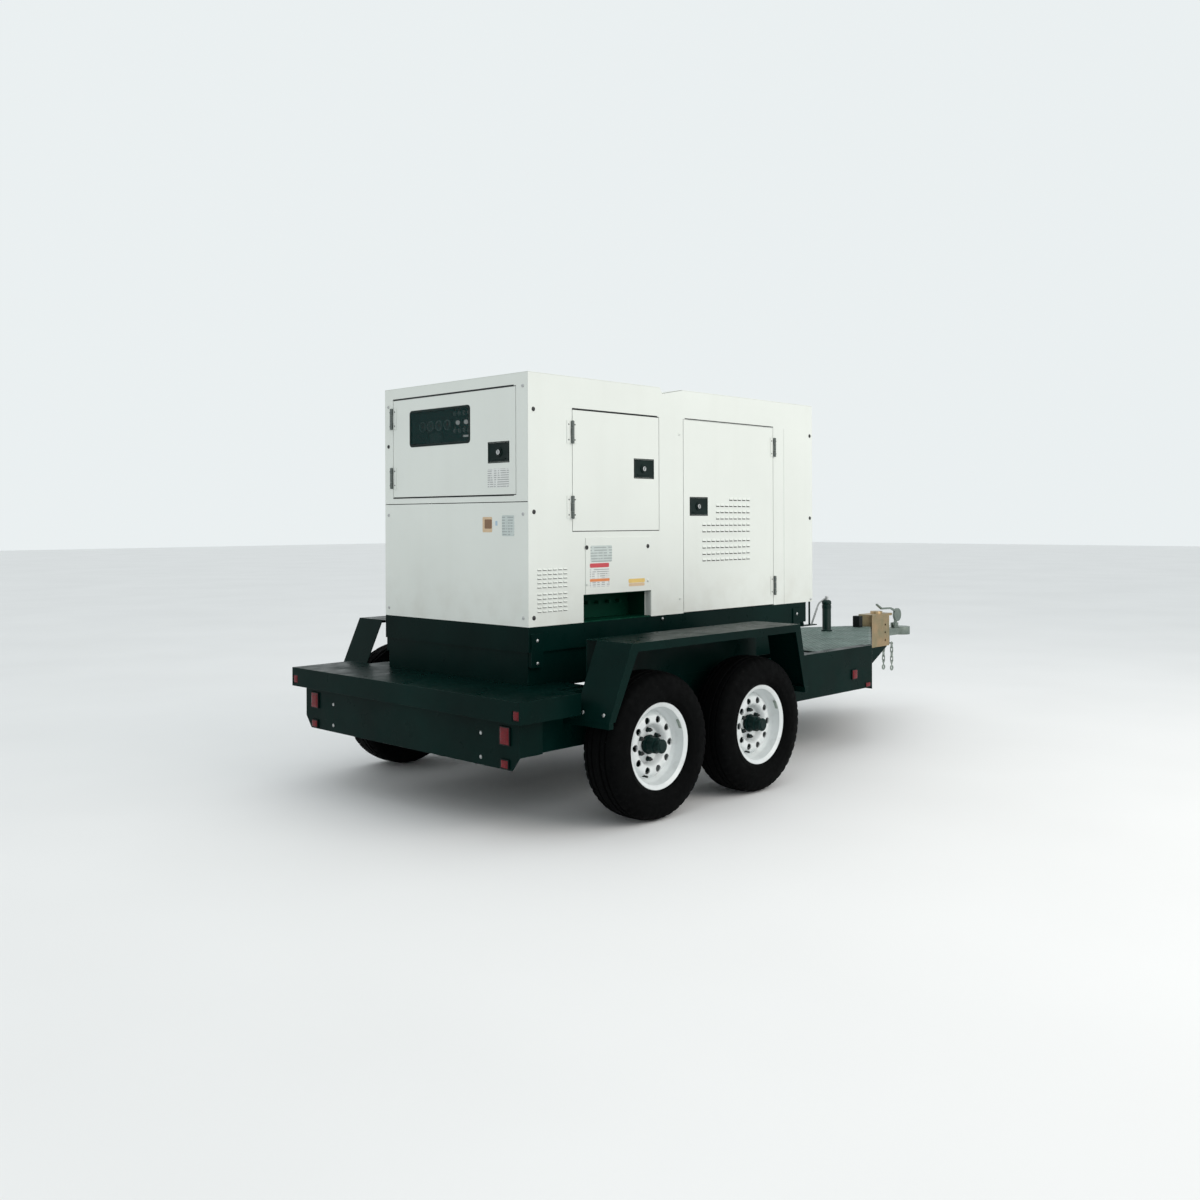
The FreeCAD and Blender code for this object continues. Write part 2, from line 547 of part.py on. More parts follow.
def side_walls():
    """Posts, headers and sills of both long sides, and the louvres in the rear posts."""
    door_rear = ("rear_door_x + door_edge - gap", "rear_door_x + door_edge + rear_door_w + gap")
    door_front = ("front_door_x - door_edge - front_door_w - gap", "front_door_x - door_edge + gap")
    sill = "rear_door_z - gap"
    head = "rear_door_z + rear_door_tall + gap"
    recess = ("recess_x - recess_w / 2", "recess_x + recess_w / 2")
    pieces = []
    for side, sign in SIDES.items():
        wall = reach(sign, "cab_half - sheet", "cab_half")

        def panel(name, x, z):
            return span(f"side_{side}_{name}", x, wall, z)

        post = panel("rear_post_sheet", ("cab_rear", door_rear[0]), ("cab_floor", head))
        slots = [
            block(f"side_{side}_slot_{bank}_{row}_{column}", (27, 20, 9),
                  (f"cab_rear + 72 + {35 * column}", f"{sign} * cab_half", bank + 21 * row))
            for bank in (988, 1106) for row in range(5) for column in range(6)
        ]
        pieces.append(cut(f"side_{side}_rear_post", post, slots))
        header = plate(
            f"side_{side}_header", "XZ_Plane",
            [("cab_rear", head), ("cab_front", head), ("cab_front", "cab_roof - sheet"),
             ("dip_end", "cab_roof - sheet"), ("dip_low", "cab_roof - sheet - dip_depth"),
             ("dip_start", "cab_roof - sheet"), ("cab_rear", "cab_roof - sheet")],
            "sheet", f"{sign} * ( cab_half - sheet / 2 )")
        pieces.append(header)
        if side == "right":
            pieces += [
                panel("apron", (door_rear[0], door_rear[1]), ("recess_top", sill)),
                panel("apron_rear", (door_rear[0], recess[0]), ("cab_floor", "recess_top")),
                panel("apron_front", (recess[1], door_rear[1]), ("cab_floor", "recess_top")),
            ]
        else:
            pieces.append(panel("apron", door_rear, ("cab_floor", sill)))
        pieces += [
            panel("mid_post", (door_rear[1], door_front[0]), ("cab_floor", head)),
            panel("front_post", (door_front[1], "bend_x - 1"), ("cab_floor", head)),
            panel("nose_panel", ("bend_x + 1", "cab_front"), ("cab_floor", head)),
        ]
    node("side_walls", group("side_walls", pieces))


def end_walls():
    """The rear surround and lower panel, and the front wall with its air grille."""
    inner = "cab_half - sheet"
    rear = ("cab_rear", "cab_rear + sheet")
    door_low, door_high = "panel_door_z - gap", "panel_door_z + panel_door_tall + gap"
    left_edge = "panel_door_y - door_edge + gap"
    right_edge = "panel_door_y - door_edge - panel_door_w - gap"
    front = ("cab_front - sheet", "cab_front")
    grille = cut(
        "front_grille",
        span("front_sheet", front, (f"-1 * ( {inner} )", inner), ("cab_floor", "cab_roof - sheet")),
        [block(f"front_slot_{i}_{j}", (30, 250, 22), ("cab_front", 300 * j, 1080 + 45 * i))
         for i in range(18) for j in (-1, 0, 1)])
    node("end_walls", group("end_walls", [
        span("rear_header", rear, (f"-1 * ( {inner} )", inner), (door_high, "cab_roof - sheet")),
        span("rear_post_left", rear, (left_edge, inner), ("split_z + 2", door_high)),
        span("rear_post_right", rear, (f"-1 * ( {inner} )", right_edge), ("split_z + 2", door_high)),
        span("rear_rail", rear, (right_edge, left_edge), ("split_z + 2", door_low)),
        span("rear_lower", rear, (f"-1 * ( {inner} )", inner), ("cab_floor", "split_z - 2")),
        grille,
    ]))


def roof():
    """One folded sheet with the shallow valley between the two halves of the cabinet."""
    low = "cab_roof - sheet"
    points = [("cab_rear", "cab_roof"), ("cab_rear", low), ("dip_start", low),
              ("dip_low", f"{low} - dip_depth"), ("dip_end", low), ("cab_front", low),
              ("cab_front", "cab_roof"), ("dip_end", "cab_roof"),
              ("dip_low", "cab_roof - dip_depth"), ("dip_start", "cab_roof")]
    node("roof", plate("roof", "XZ_Plane", points, "2 * cab_half", 0))


def cable_recess():
    """The dark pocket for the load cables, with a row of terminal studs on its back."""
    sheet = "sheet"
    low_x, high_x = "recess_x - recess_w / 2", "recess_x + recess_w / 2"
    shell = span("recess_shell", (low_x, high_x), ("sheet - cab_half", "recess_deep - cab_half"),
                 ("cab_floor", "recess_top"))
    hollow = span("recess_hollow", (f"{low_x} + {sheet}", f"{high_x} - {sheet}"),
                  ("-1 * cab_half - 10", f"recess_deep - cab_half - {sheet}"),
                  (f"cab_floor + {sheet}", f"recess_top - {sheet}"))
    studs = [rod(f"terminal_{i}", "stud_r", 34,
                 (f"recess_x + {i - 2} * stud_pitch", "recess_deep - cab_half - 36", 1000), "y")
             for i in range(5)]
    node("cable_recess", fuse("cable_recess", [cut("recess_pocket", shell, [hollow])] + studs))


def outlet_cover():
    """The screwed cover above the cable recess."""
    node("outlet_cover", block("outlet_cover", ("cover_w", "sheet", "cover_tall"),
                               ("cover_x", "-1 * cab_half - sheet / 2", "recess_top + cover_tall / 2")))


# A door is drawn in its own frame: the hinge axis is the Z axis, +Y points into the
# cabinet and the door runs along +X, or along -X where its hand is -1.
DOORS = {
    "control": {"hand": 1, "turn": -90, "axis": ("cab_rear - knuckle_off", "panel_door_y"),
                "wide": "panel_door_w", "low": "panel_door_z", "tall": "panel_door_tall",
                "hinges": (1661, 1982), "latch": ("870", 1766)},
    "right_rear": {"hand": 1, "turn": 0, "axis": ("rear_door_x", "-1 * cab_half - knuckle_off"),
                   "wide": "rear_door_w", "low": "rear_door_z", "tall": "rear_door_tall",
                   "hinges": (1495, 1868), "latch": ("540", 1702)},
    "right_front": {"hand": -1, "turn": 0, "axis": ("front_door_x", "-1 * cab_half - knuckle_off"),
                    "wide": "front_door_w", "low": "front_door_z", "tall": "front_door_tall",
                    "hinges": (1035, 1867), "latch": ("715", 1506)},
    "left_rear": {"hand": -1, "turn": 180, "axis": ("rear_door_x", "cab_half + knuckle_off"),
                  "wide": "rear_door_w", "low": "rear_door_z", "tall": "rear_door_tall",
                  "hinges": (1495, 1868), "latch": ("540", 1702)},
    "left_front": {"hand": 1, "turn": 180, "axis": ("front_door_x", "cab_half + knuckle_off"),
                   "wide": "front_door_w", "low": "front_door_z", "tall": "front_door_tall",
                   "hinges": (1035, 1867), "latch": ("715", 1506)},
}
FIXED_HINGES = []
# Rows of louvres in a front door, each with its height and its first column: the upper
# rows step back round the latch.
LOUVRE_ROWS = [(1205 + 36 * row, 0) for row in range(4)]
LOUVRE_ROWS += [(1368 + 36 * row, first) for row, first in enumerate((0, 0, 3, 3, 3, 6))]


def hung(piece, door):
    """Turn a piece from a door's own frame into the trailer's frame."""
    turn = FreeCAD.Rotation(FreeCAD.Vector(0, 0, 1), door["turn"])
    piece.Placement = FreeCAD.Placement(FreeCAD.Vector(), turn)
    return place(piece, *door["axis"])


def hinge_half(name, door, z, hand, knuckles, bore):
    """One leaf, its knuckles as (low, tall) pairs, and its bore or pin."""
    leaf = block(f"{name}_leaf", ("leaf_wide", "leaf_thick", "hinge_tall"),
                 (f"{hand} * ( leaf_start + leaf_wide / 2 )", "knuckle_off - leaf_thick / 2", z))
    solids = [leaf]
    for i, (low, tall) in enumerate(knuckles):
        solids.append(rod(f"{name}_knuckle_{i}", "knuckle_r", tall, (0, 0, f"{z} + {low}")))
        solids.append(block(f"{name}_neck_{i}", ("leaf_start + 1", "leaf_thick", tall),
                            (f"{hand} * ( leaf_start + 1 ) / 2", "knuckle_off - leaf_thick / 2",
                             f"{z} + {low} + {tall} / 2")))
    round_name, radius = ("bore", "hinge_bore_r") if bore else ("pin", "hinge_pin_r")
    round_piece = rod(f"{name}_{round_name}", radius, "hinge_tall", (0, 0, f"{z} - hinge_tall / 2"))
    return solids, round_piece


def door(name):
    """A folded door pan with its hinge leaves and latch pocket."""
    kind = DOORS[name]
    hand, wide, low, tall = kind["hand"], kind["wide"], kind["low"], kind["tall"]
    mid_x = f"{hand} * ( door_edge + {wide} / 2 )"
    mid_z = f"{low} + {tall} / 2"
    face = "knuckle_off"
    pan = block(f"{name}_pan", (wide, "door_deep", tall), (mid_x, f"{face} + door_deep / 2", mid_z))
    hollow = block(f"{name}_pan_hollow", (f"{wide} - 2 * sheet", "door_deep", f"{tall} - 2 * sheet"),
                   (mid_x, f"{face} + sheet + door_deep / 2", mid_z))
    solids = [cut(f"{name}_skin", pan, [hollow])]
    latch_x, latch_z = f"{hand} * {kind['latch'][0]}", kind["latch"][1]
    rim = "latch_deep + latch_wall"
    solids.append(block(f"{name}_latch_box",
                        ("latch_w + 2 * latch_wall", rim, "latch_tall + 2 * latch_wall"),
                        (latch_x, f"{face} + ( {rim} ) / 2", latch_z)))
    tools = [block(f"{name}_latch_pocket", ("latch_w", "2 * latch_deep", "latch_tall"),
                   (latch_x, face, latch_z)),
             rod(f"{name}_latch_bore", "trunnion_bore_r", "latch_w + 20",
                 (f"{latch_x} - latch_w / 2 - 10", f"{face} + trunnion_in",
                  f"{latch_z} + trunnion_up"), "x")]
    for i, z in enumerate(kind["hinges"]):
        moving, bore = hinge_half(f"{name}_hinge_{i}", kind, z, hand, ((-20, 40),), True)
        fixed, pin = hinge_half(f"{name}_post_{i}", kind, z, -hand, ((-56, 35.5), (20.5, 35.5)), False)
        solids += moving
        tools.append(bore)
        FIXED_HINGES.append(hung(fuse(f"{name}_fixed_{i}", fixed + [pin]), kind))
    if name == "control":
        tools.append(block("window_hole", ("window_w", 60, "window_tall"),
                           ("panel_door_y - window_y", face, "window_z")))
    if name.endswith("front"):
        for z, first_column in LOUVRE_ROWS:
            for column in range(first_column, 11):
                across = f"{hand} * ( door_edge + front_door_w - {180 + 41 * column} )"
                tools.append(block(f"{name}_slot_{z}_{column}", (33, 30, 14), (across, face, z)))
    pan_fused = fuse(f"{name}_solid", solids)
    node(f"{name}_door", hung(cut(f"{name}_door", pan_fused, tools), kind))


def paddle(name):
    """The latch paddle: a pad on two stub pins, with a key barrel in the middle."""
    kind = DOORS[name]
    x, z = f"{kind['hand']} * {kind['latch'][0]}", kind["latch"][1]
    pad = block(f"{name}_pad",
                ("latch_w - 2 * paddle_gap", "paddle_thick", "latch_tall - 2 * paddle_gap"),
                (x, "knuckle_off - 2 + paddle_thick / 2", z))
    stub = rod(f"{name}_stub", "trunnion_r", "latch_w + 2 * ( latch_wall - 1 )",
               (f"{x} - latch_w / 2 - latch_wall + 1", "knuckle_off + trunnion_in",
                f"{z} + trunnion_up"), "x")
    key = rod(f"{name}_key", "key_r", 8, (x, "knuckle_off - 6", z), "y")
    node(f"{name}_latch", hung(fuse(f"{name}_latch", [pad, stub, key]), kind))


def window():
    """The clear pane set into the control door."""
    kind = DOORS["control"]
    pane = block("pane", ("window_w", "sheet", "window_tall"),
                 ("panel_door_y - window_y", "knuckle_off + sheet / 2", "window_z"))
    node("control_window", hung(group("control_window", [pane]), kind))


def control_board():
    """The instrument board behind the window, with its gauges and buttons."""
    board = block("board_sheet", (4, "2 * board_half", 480), ("board_x", 0, 1819))
    box = block("board_box", (140, "2 * board_half - 60", 430), ("board_x + 72", 0, 1819))
    box_hollow = block("board_box_hollow", (140, "2 * board_half - 66", 424), ("board_x + 75", 0, 1819))
    case = cut("board_case", box, [box_hollow])
    gauges = [rod(f"gauge_{i}", 26, 14, ("board_x - 16", y, 1930), "x")
              for i, y in enumerate((300, 230, 160, 90))]
    buttons = [rod(f"button_{i}", 11, 12, ("board_x - 14", 30 - 38 * (i % 4), 1950 - 50 * (i // 4)), "x")
               for i in range(8)]
    screen = block("board_screen", (8, 110, 62), ("board_x - 5", 195, 1862))
    node("control_board", fuse("control_board", [board, case, screen] + gauges + buttons))


def screws():
    """The round-headed screws and bolts that show on the outside."""
    pieces = []

    def head(x, y, z, axis):
        pieces.append(rod(f"screw_{len(pieces)}", 8, 5, (x, y, z), axis))

    rear_places = ((-540, 2078), (545, 2050), (545, 1835), (-540, 1461), (545, 1461),
                   (-540, 960), (545, 960))
    for y, z in rear_places:
        head("cab_rear - 5", y, z, "x")
    side_places = ((35, 1966), (37, 1471), (35, 960), (2394, 1955), (2394, 1440), (2400, 932),
                   (1125, 1900), (1125, 1000))
    for side, sign in SIDES.items():
        for x, z in side_places:
            head(f"cab_rear + {x}", f"{sign} * ( cab_half + 2.5 ) - 2.5", z, "y")
        for y, z in ((600, 460), (600, 350), (510, 588)):
            head("skirt_x - 5", f"{sign} * {y}", z, "x")
        for x in ("cab_rear + 52", "tank_front - 60"):
            for z in (850, 741):
                head(x, f"{sign} * ( cab_half + 8.5 ) - 2.5", z, "y")
    for x, z in ((394, 1293), (857, 1292), (394, 1108), (857, 1109)):
        head(f"cab_rear + {x}", "-1 * cab_half - sheet - 5", z, "y")
    node("screws", group("screws", pieces))


# ---------------------------------------------------------------- machinery


def engine():
    """The diesel engine: block on its sump, head, bell housing, manifold and fan drive."""
    rear, front = "alt_front + 90", "block_front"
    crankcase = span("engine_block", (rear, front), ("-1 * block_half", "block_half"),
                     ("sump_z + 90", "head_z_top - 150"))
    bores = [
        span("engine_crankcase_hollow", (f"{rear} + 35", f"{front} - 35"),
             ("30 - block_half", "block_half - 30"), ("sump_z + 80", "head_z_top - 185")),
        rod("engine_bell_hollow", 170, 70, ("alt_front - 1", 0, "shaft_z"), "x"),
        rod("engine_fan_bore", "fan_bore_r", 160, ("fan_x - 190", 0, "fan_z"), "x"),
    ]
    upper = [
        crankcase,
        span("engine_head", (f"{rear} + 10", f"{front} - 10"), (-120, 120),
             ("head_z_top - 150", "head_z_top - 60")),
        span("engine_cover", (f"{rear} + 40", f"{front} - 40"), (-70, 70),
             ("head_z_top - 60", "head_z_top")),
        rod("engine_bell", 240, 90, ("alt_front", 0, "shaft_z"), "x"),
        rod("engine_manifold", 38, "block_front - alt_front - 260",
            ("alt_front + 200", 165, "head_z_top - 100"), "x"),
        rod("engine_turbo", 85, 70, (-800, 150, "head_z_top - 20"), "x"),
        rod("engine_fan_drive", 60, "fan_x - block_front - 60", ("block_front", 0, "fan_z"), "x"),
    ]
    for x in (-950, -480):
        for side, sign in SIDES.items():
            upper.append(block(f"engine_foot_{side}_{-x}", (90, 60, 100),
                               (x, sign * 215, "cab_floor + 50")))
            upper.append(block(f"engine_arm_{side}_{-x}", (70, 70, 130),
                               (x, sign * 220, "cab_floor + 165")))
    sump = span("engine_sump", (f"{rear} + 30", f"{front} - 30"),
                ("30 - block_half", "block_half - 30"), ("sump_z", "sump_z + 90"))
    sump_hollow = span("engine_sump_hollow", (f"{rear} + 40", f"{front} - 40"),
                       ("40 - block_half", "block_half - 40"), ("sump_z + 10", "sump_z + 91"))
    node("engine", group("engine", [
        cut("engine_upper", fuse("engine_solid", upper), bores),
        cut("engine_pan", sump, [sump_hollow]),
    ]))


def alternator():
    """The generator end, bolted to the bell housing, with its terminal box."""
    body = rod("alt_body", "alt_r", "alt_front - alt_rear", ("alt_rear", 0, "shaft_z"), "x")
    bore = rod("alt_bore", "alt_bore_r", "alt_front - alt_rear - 60",
               ("alt_rear + 80", 0, "shaft_z"), "x")
    box = block("alt_box", (380, 300, 180), ("alt_rear + 260", 0, "shaft_z + 240"))
    feet = [block(f"alt_foot_{side}", (360, 70, "shaft_z - cab_floor - 120"),
                  ("alt_rear + 280", sign * 150, "( shaft_z + cab_floor - 120 ) / 2"))
            for side, sign in SIDES.items()]
    node("alternator", cut("alternator", fuse("alt_solid", [body, box] + feet), [bore]))


def radiator():
    """The radiator core in its frame, with a round shroud towards the engine."""
    core = block("radiator_core", (30, 860, 900), ("radiator_x", 0, "cab_floor + 460"))
    top = block("radiator_top", (90, 880, 70), ("radiator_x", 0, "cab_floor + 945"))
    low = block("radiator_low", (90, 880, 20), ("radiator_x", 0, "cab_floor + 10"))
    outer = rod("shroud_outer", "fan_r + 24", 97, ("fan_x - 2", 0, "fan_z"), "x")
    inner = rod("shroud_inner", "fan_r + 18", 99, ("fan_x - 3", 0, "fan_z"), "x")
    node("radiator", fuse("radiator", [core, top, low, cut("shroud", outer, [inner])]))


def fan():
    """Six pitched blades on a hub, with the shaft that runs in the fan drive."""
    hub = rod("fan_hub", 70, 44, ("fan_x - 22", 0, "fan_z"), "x")
    shaft = rod("fan_shaft", "fan_shaft_r", 160, ("fan_x - 180", 0, "fan_z"), "x")
    blades = []
    for i in range(6):
        blade = doc.addObject("Part::Box", f"fan_blade_{i}")
        for prop, text in (("Length", 5), ("Width", 110), ("Height", "fan_r - 60")):
            blade.setExpression(prop, formula(text))
        root = FreeCAD.Placement(FreeCAD.Vector(-2.5, -55, 60), FreeCAD.Rotation())
        pitch = FreeCAD.Rotation(FreeCAD.Vector(0, 0, 1), 20)
        spin = FreeCAD.Rotation(FreeCAD.Vector(1, 0, 0), 60 * i)
        blade.Placement = FreeCAD.Placement(FreeCAD.Vector(), spin * pitch) * root
        blades.append(blade)
    wheel = fuse("fan_blades", blades)
    place(wheel, "fan_x", 0, "fan_z")
    node("cooling_fan", fuse("cooling_fan", [hub, shaft, wheel]))


def muffler():
    """The silencer drum over the engine, with its pipe from the turbocharger."""
    drum = rod("muffler_drum", "muffler_r", 760, (-900, 0, "muffler_z"), "x")
    hollow = rod("muffler_hollow", "muffler_r - 4", 752, (-896, 0, "muffler_z"), "x")
    outlet = rod("muffler_outlet", 38, 190, (-145, 0, "muffler_z"), "x")
    bore = rod("muffler_bore", 34, 210, (-160, 0, "muffler_z"), "x")
    legs = [span(f"muffler_leg_{-x}", (x, x + 30), (-40, 40),
                 ("head_z_top", "muffler_z - muffler_r + 8"))
            for x in (-760, -500)]
    node("muffler", cut("muffler", fuse("muffler_solid", [drum, outlet] + legs), [hollow, bore]))


# ---------------------------------------------------------------- hitch and jack


def coupler_head():
    """The plated adjustable head: side plates, back, top, lid with a round cap, and holes."""
    half = "nose_half"
    mid_x = "( nose_x + head_front ) / 2"
    tall = ("head_z", "head_top")
    sides = [
        block(f"head_{side}", ("head_front - nose_x", "head_wall", "head_top - head_z"),
              (mid_x, f"{sign} * ( {half} - head_wall / 2 )", "( head_z + head_top ) / 2"))
        for side, sign in SIDES.items()
    ]
    top = span("head_roof", ("nose_x", "head_front"), (f"-1 * {half}", half),
               ("head_top - head_wall", "head_top"))
    back = span("head_back", ("nose_x", "nose_x + head_wall"), (f"-1 * {half}", half), tall)
    front = span("head_plate", ("head_front - 14", "head_front"), (f"-1 * {half}", half), tall)
    lid = span("head_lid", ("nose_x - 8", "head_front + 30"), (f"-1 * {half} - 8", f"{half} + 8"),
               ("head_top - 2", "lid_top"))
    cap = rod("head_cap", 46, 20, (f"{mid_x} + 24", 0, "lid_top - 2"))
    holes = [rod(f"head_hole_{i}", 9, 160, ("head_front - 60", -80, z), "y")
             for i, z in enumerate((500, 560, 620))]
    node("coupler_head", cut("coupler_head", fuse("head_solid", sides + [top, back, front, lid, cap]),
                             holes))


def coupler():
    """The ball coupler: a shank, a hollow nose with the ball socket and a latch tower."""
    shank = span("coupler_shank", ("head_front", "ball_x - 30"), (-34, 34),
                 ("body_z + 4", "body_top - 4"))
    nose = rod("coupler_nose", "coupler_tip - ball_x", "body_top - body_z", ("ball_x", 0, "body_z"))
    flange = span("coupler_flange", ("head_front", "head_front + 12"), (-48, 48),
                  ("body_z - 30", "body_top + 30"))
    tower = span("coupler_tower", ("latch_pivot_x - 26", "latch_pivot_x + 26"), (-20, 20),
                 ("body_top - 10", "latch_pivot_z + 18"))
    slot = span("coupler_slot", ("latch_pivot_x - 40", "latch_pivot_x + 40"), (-10.5, 10.5),
                ("body_top - 4", "latch_pivot_z + 30"))
    socket = rod("coupler_socket", "ball_r", "body_top - body_z - 14", ("ball_x", 0, "body_z - 1"))
    solid = fuse("coupler_solid", [shank, nose, flange, tower])
    pin = rod("coupler_pin", "latch_pin_r", 48, ("latch_pivot_x", -24, "latch_pivot_z"), "y")
    pin_z = "chain_z - 4"
    lug = span("coupler_lug", ("chain_x - 8", "chain_x + 8"), (-14, 14),
               (f"{pin_z} - 7", "body_z + 6"))
    eye_pin = rod("coupler_eye_pin", "eye_pin_r", "2 * chain_y + 20",
                  ("chain_x", "-1 * chain_y - 10", pin_z), "y")
    node("coupler", fuse("coupler", [cut("coupler_body", solid, [socket, slot]), pin, lug, eye_pin]))


def coupler_latch():
    """The latch lever with its round thumb plate, on the pin through the tower."""
    boss = rod("latch_boss", 15, 20, ("latch_pivot_x", -10, "latch_pivot_z"), "y")
    thumb = rod("latch_thumb", 51, 18, ("latch_pivot_x + 40", -9, "latch_pivot_z + 78"), "y")
    neck = plate("latch_neck", "XZ_Plane",
                 [("latch_pivot_x - 10", "latch_pivot_z"), ("latch_pivot_x + 12", "latch_pivot_z"),
                  ("latch_pivot_x + 62", "latch_pivot_z + 60"), ("latch_pivot_x + 14", "latch_pivot_z + 74")],
                 12, 0)
    tail = plate("latch_tail", "XZ_Plane",
                 [("latch_pivot_x + 30", "latch_pivot_z + 96"),
                  ("latch_pivot_x - 60", "latch_pivot_z + 128"),
                  ("latch_pivot_x - 200", "latch_pivot_z + 132"),
                  ("latch_pivot_x - 272", "latch_pivot_z + 170"),
                  ("latch_pivot_x - 268", "latch_pivot_z + 180"),
                  ("latch_pivot_x - 196", "latch_pivot_z + 146"),
                  ("latch_pivot_x - 62", "latch_pivot_z + 142"),
                  ("latch_pivot_x + 30", "latch_pivot_z + 114")],
                 14, 0)
    solid = fuse("latch_solid", [boss, thumb, neck, tail])
    bore = rod("latch_bore", "latch_bore_r", 60, ("latch_pivot_x", -30, "latch_pivot_z"), "y")
    node("coupler_latch", cut("coupler_latch", solid, [bore]))


def breakaway_box():
    """The battery box of the emergency brake, on the deck behind the hitch."""
    node("breakaway_box", block("breakaway_box", ("battery_long", "battery_wide", "battery_tall"),
                                ("battery_x", 0, "tongue_top + tread_thick + battery_tall / 2")))


def safety_chain(side, sign):
    """Four links and a hook, hanging from an eye pin under the shank."""
    y = f"{sign} * chain_y"
    links = []
    for i in range(4):
        z = f"chain_z - link_pitch * {i + 0.5}"
        bars = []
        across = i % 2 == 0
        for j in (-1, 1):
            x_bar = f"chain_x + {j} * link_half" if across else "chain_x"
            y_bar = y if across else f"{y} + {j} * link_half"
            bars.append(rod(f"link_{side}_{i}_bar_{j}", "link_r", "link_pitch - 8",
                            (x_bar, y_bar, f"{z} - link_pitch / 2 + 4")))
            bend = doc.addObject("Part::Torus", f"link_{side}_{i}_bend_{j}")
            bend.setExpression("Radius1", formula("link_half"))
            bend.setExpression("Radius2", formula("link_r"))
            bend.Angle3 = 180
            start = FreeCAD.Rotation(FreeCAD.Vector(1, 0, 0), 90 * j)
            facing = FreeCAD.Rotation(FreeCAD.Vector(0, 0, 1), 0 if across else 90)
            turned(bend, facing * start)
            bars.append(place(bend, "chain_x", y, f"{z} + {j} * ( link_pitch / 2 - 4 )"))
        links.append(fuse(f"link_{side}_{i}", bars))
    ring_z = "chain_z - 4 * link_pitch - 6"
    eye = doc.addObject("Part::Torus", f"hook_{side}_eye")
    eye.Radius1 = 11
    eye.setExpression("Radius2", formula("link_r"))
    bend = doc.addObject("Part::Torus", f"hook_{side}_bend")
    bend.Radius1 = 16
    bend.Radius2 = 6
    for piece, drop in ((eye, 0), (bend, 46)):
        turned(piece, FreeCAD.Rotation(FreeCAD.Vector(1, 0, 0), 90))
        place(piece, "chain_x", y, f"{ring_z} - {drop}")
    shank = rod(f"hook_{side}_shank", 5, 20, ("chain_x", y, f"{ring_z} - 30"))
    return group(f"safety_chain_{side}", links + [fuse(f"hook_{side}", [eye, bend, shank])])


def jack():
    """The screw jack: outer tube with cap, inner leg with foot, and crank."""
    tube = rod("jack_outer", "jack_r - 0.3", "jack_top - jack_z", ("jack_x", 0, "jack_z"))
    bore = rod("jack_bore", "jack_bore_r", "jack_top - jack_z - 12", ("jack_x", 0, "jack_z - 6"))
    top_bore = rod("jack_top_bore", "crank_bore_r", 60, ("jack_x", 0, "jack_top - 40"))
    collar = rod("jack_collar", 40, 10, ("jack_x", 0, "tongue_top + tread_thick"))
    node("jack_tube", cut("jack_tube", fuse("jack_solid", [tube, collar]), [bore, top_bore]))
    leg = rod("leg_bar", "leg_r", "jack_top - 60 - foot_z - foot_thick", ("jack_x", 0, "foot_z + foot_thick"))
    foot = rod("leg_foot", "foot_r", "foot_thick", ("jack_x", 0, "foot_z"))
    node("jack_leg", fuse("jack_leg", [leg, foot]))
    shaft = rod("crank_shaft", "crank_r", 50, ("jack_x", 0, "jack_top - 30"))
    cap = rod("crank_cap", "jack_r + 2", 34, ("jack_x", 0, "jack_top + 1"))
    head = rod("crank_head", 13, 30, ("jack_x", 0, "jack_top + 30"))
    # The arm leans out and down to the left rear, and the grip hangs from its end.
    side_turn = FreeCAD.Rotation(FreeCAD.Vector(0, 0, 1), 135)
    arm_lean, grip_lean = 127, 161
    arm = rod("crank_arm", "arm_r", "crank_reach", ("jack_x", 0, "jack_top + 52"))
    turned(arm, side_turn * FreeCAD.Rotation(FreeCAD.Vector(0, 1, 0), arm_lean))
    place(arm, "jack_x", 0, "jack_top + 52")
    sideways = math.sin(math.radians(arm_lean)) / math.sqrt(2)
    down = math.cos(math.radians(arm_lean))
    elbow_at = (f"jack_x - crank_reach * {sideways:.5f}", f"crank_reach * {sideways:.5f}",
                f"jack_top + 52 + crank_reach * ( {down:.5f} )")
    elbow = doc.addObject("Part::Sphere", "crank_elbow")
    elbow.setExpression("Radius", formula("arm_r + 2"))
    place(elbow, *elbow_at)
    grip = rod("crank_grip", "arm_r", "crank_grip", ("jack_x", 0, "jack_top"))
    turned(grip, side_turn * FreeCAD.Rotation(FreeCAD.Vector(0, 1, 0), grip_lean))
    place(grip, *elbow_at)
    node("jack_crank", fuse("jack_crank", [shaft, cap, head, arm, elbow, grip]))


frame()
tongue()
tread_deck()
rear_deck()
rear_skirt()
fenders()
lamps()
axle_tubes()
for side_name, side_sign in SIDES.items():
    for end_name, end_x in (("rear", "rear_axle"), ("front", "front_axle")):
        wheel_set(f"{end_name}_{side_name}", side_sign, end_x)
    node(f"safety_chain_{side_name}", safety_chain(side_name, side_sign))
fuel_tank()
skid_base()
side_walls()
end_walls()
roof()
cable_recess()
outlet_cover()
for door_name in DOORS:
    door(door_name)
    paddle(door_name)
node("hinge_leaves", group("hinge_leaves", FIXED_HINGES))
window()
control_board()
screws()
engine()
alternator()
radiator()
fan()
muffler()
coupler_head()
coupler()
coupler_latch()
breakaway_box()
jack()

doc.recompute()
bad = [item.Label for item in doc.Objects if set(item.State) & {"Invalid", "Error"}]
bad += [name for name, piece in NODES.items() if piece.Shape.isNull() or not piece.Shape.isValid()]
if bad:
    raise SystemExit(f"failed pieces: {bad}")
os.makedirs("parts", exist_ok=True)
for name, piece in NODES.items():
    piece.Shape.exportStep(f"parts/{name}.step")
print(len(NODES), "nodes written")
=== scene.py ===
"""The looks of the towable diesel generator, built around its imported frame.

Everything is in metres in the frame of the part: +X forwards to the hitch, +Y to the
left, +Z up. Places are read from the CAD nodes' boxes.
"""

import json
import math

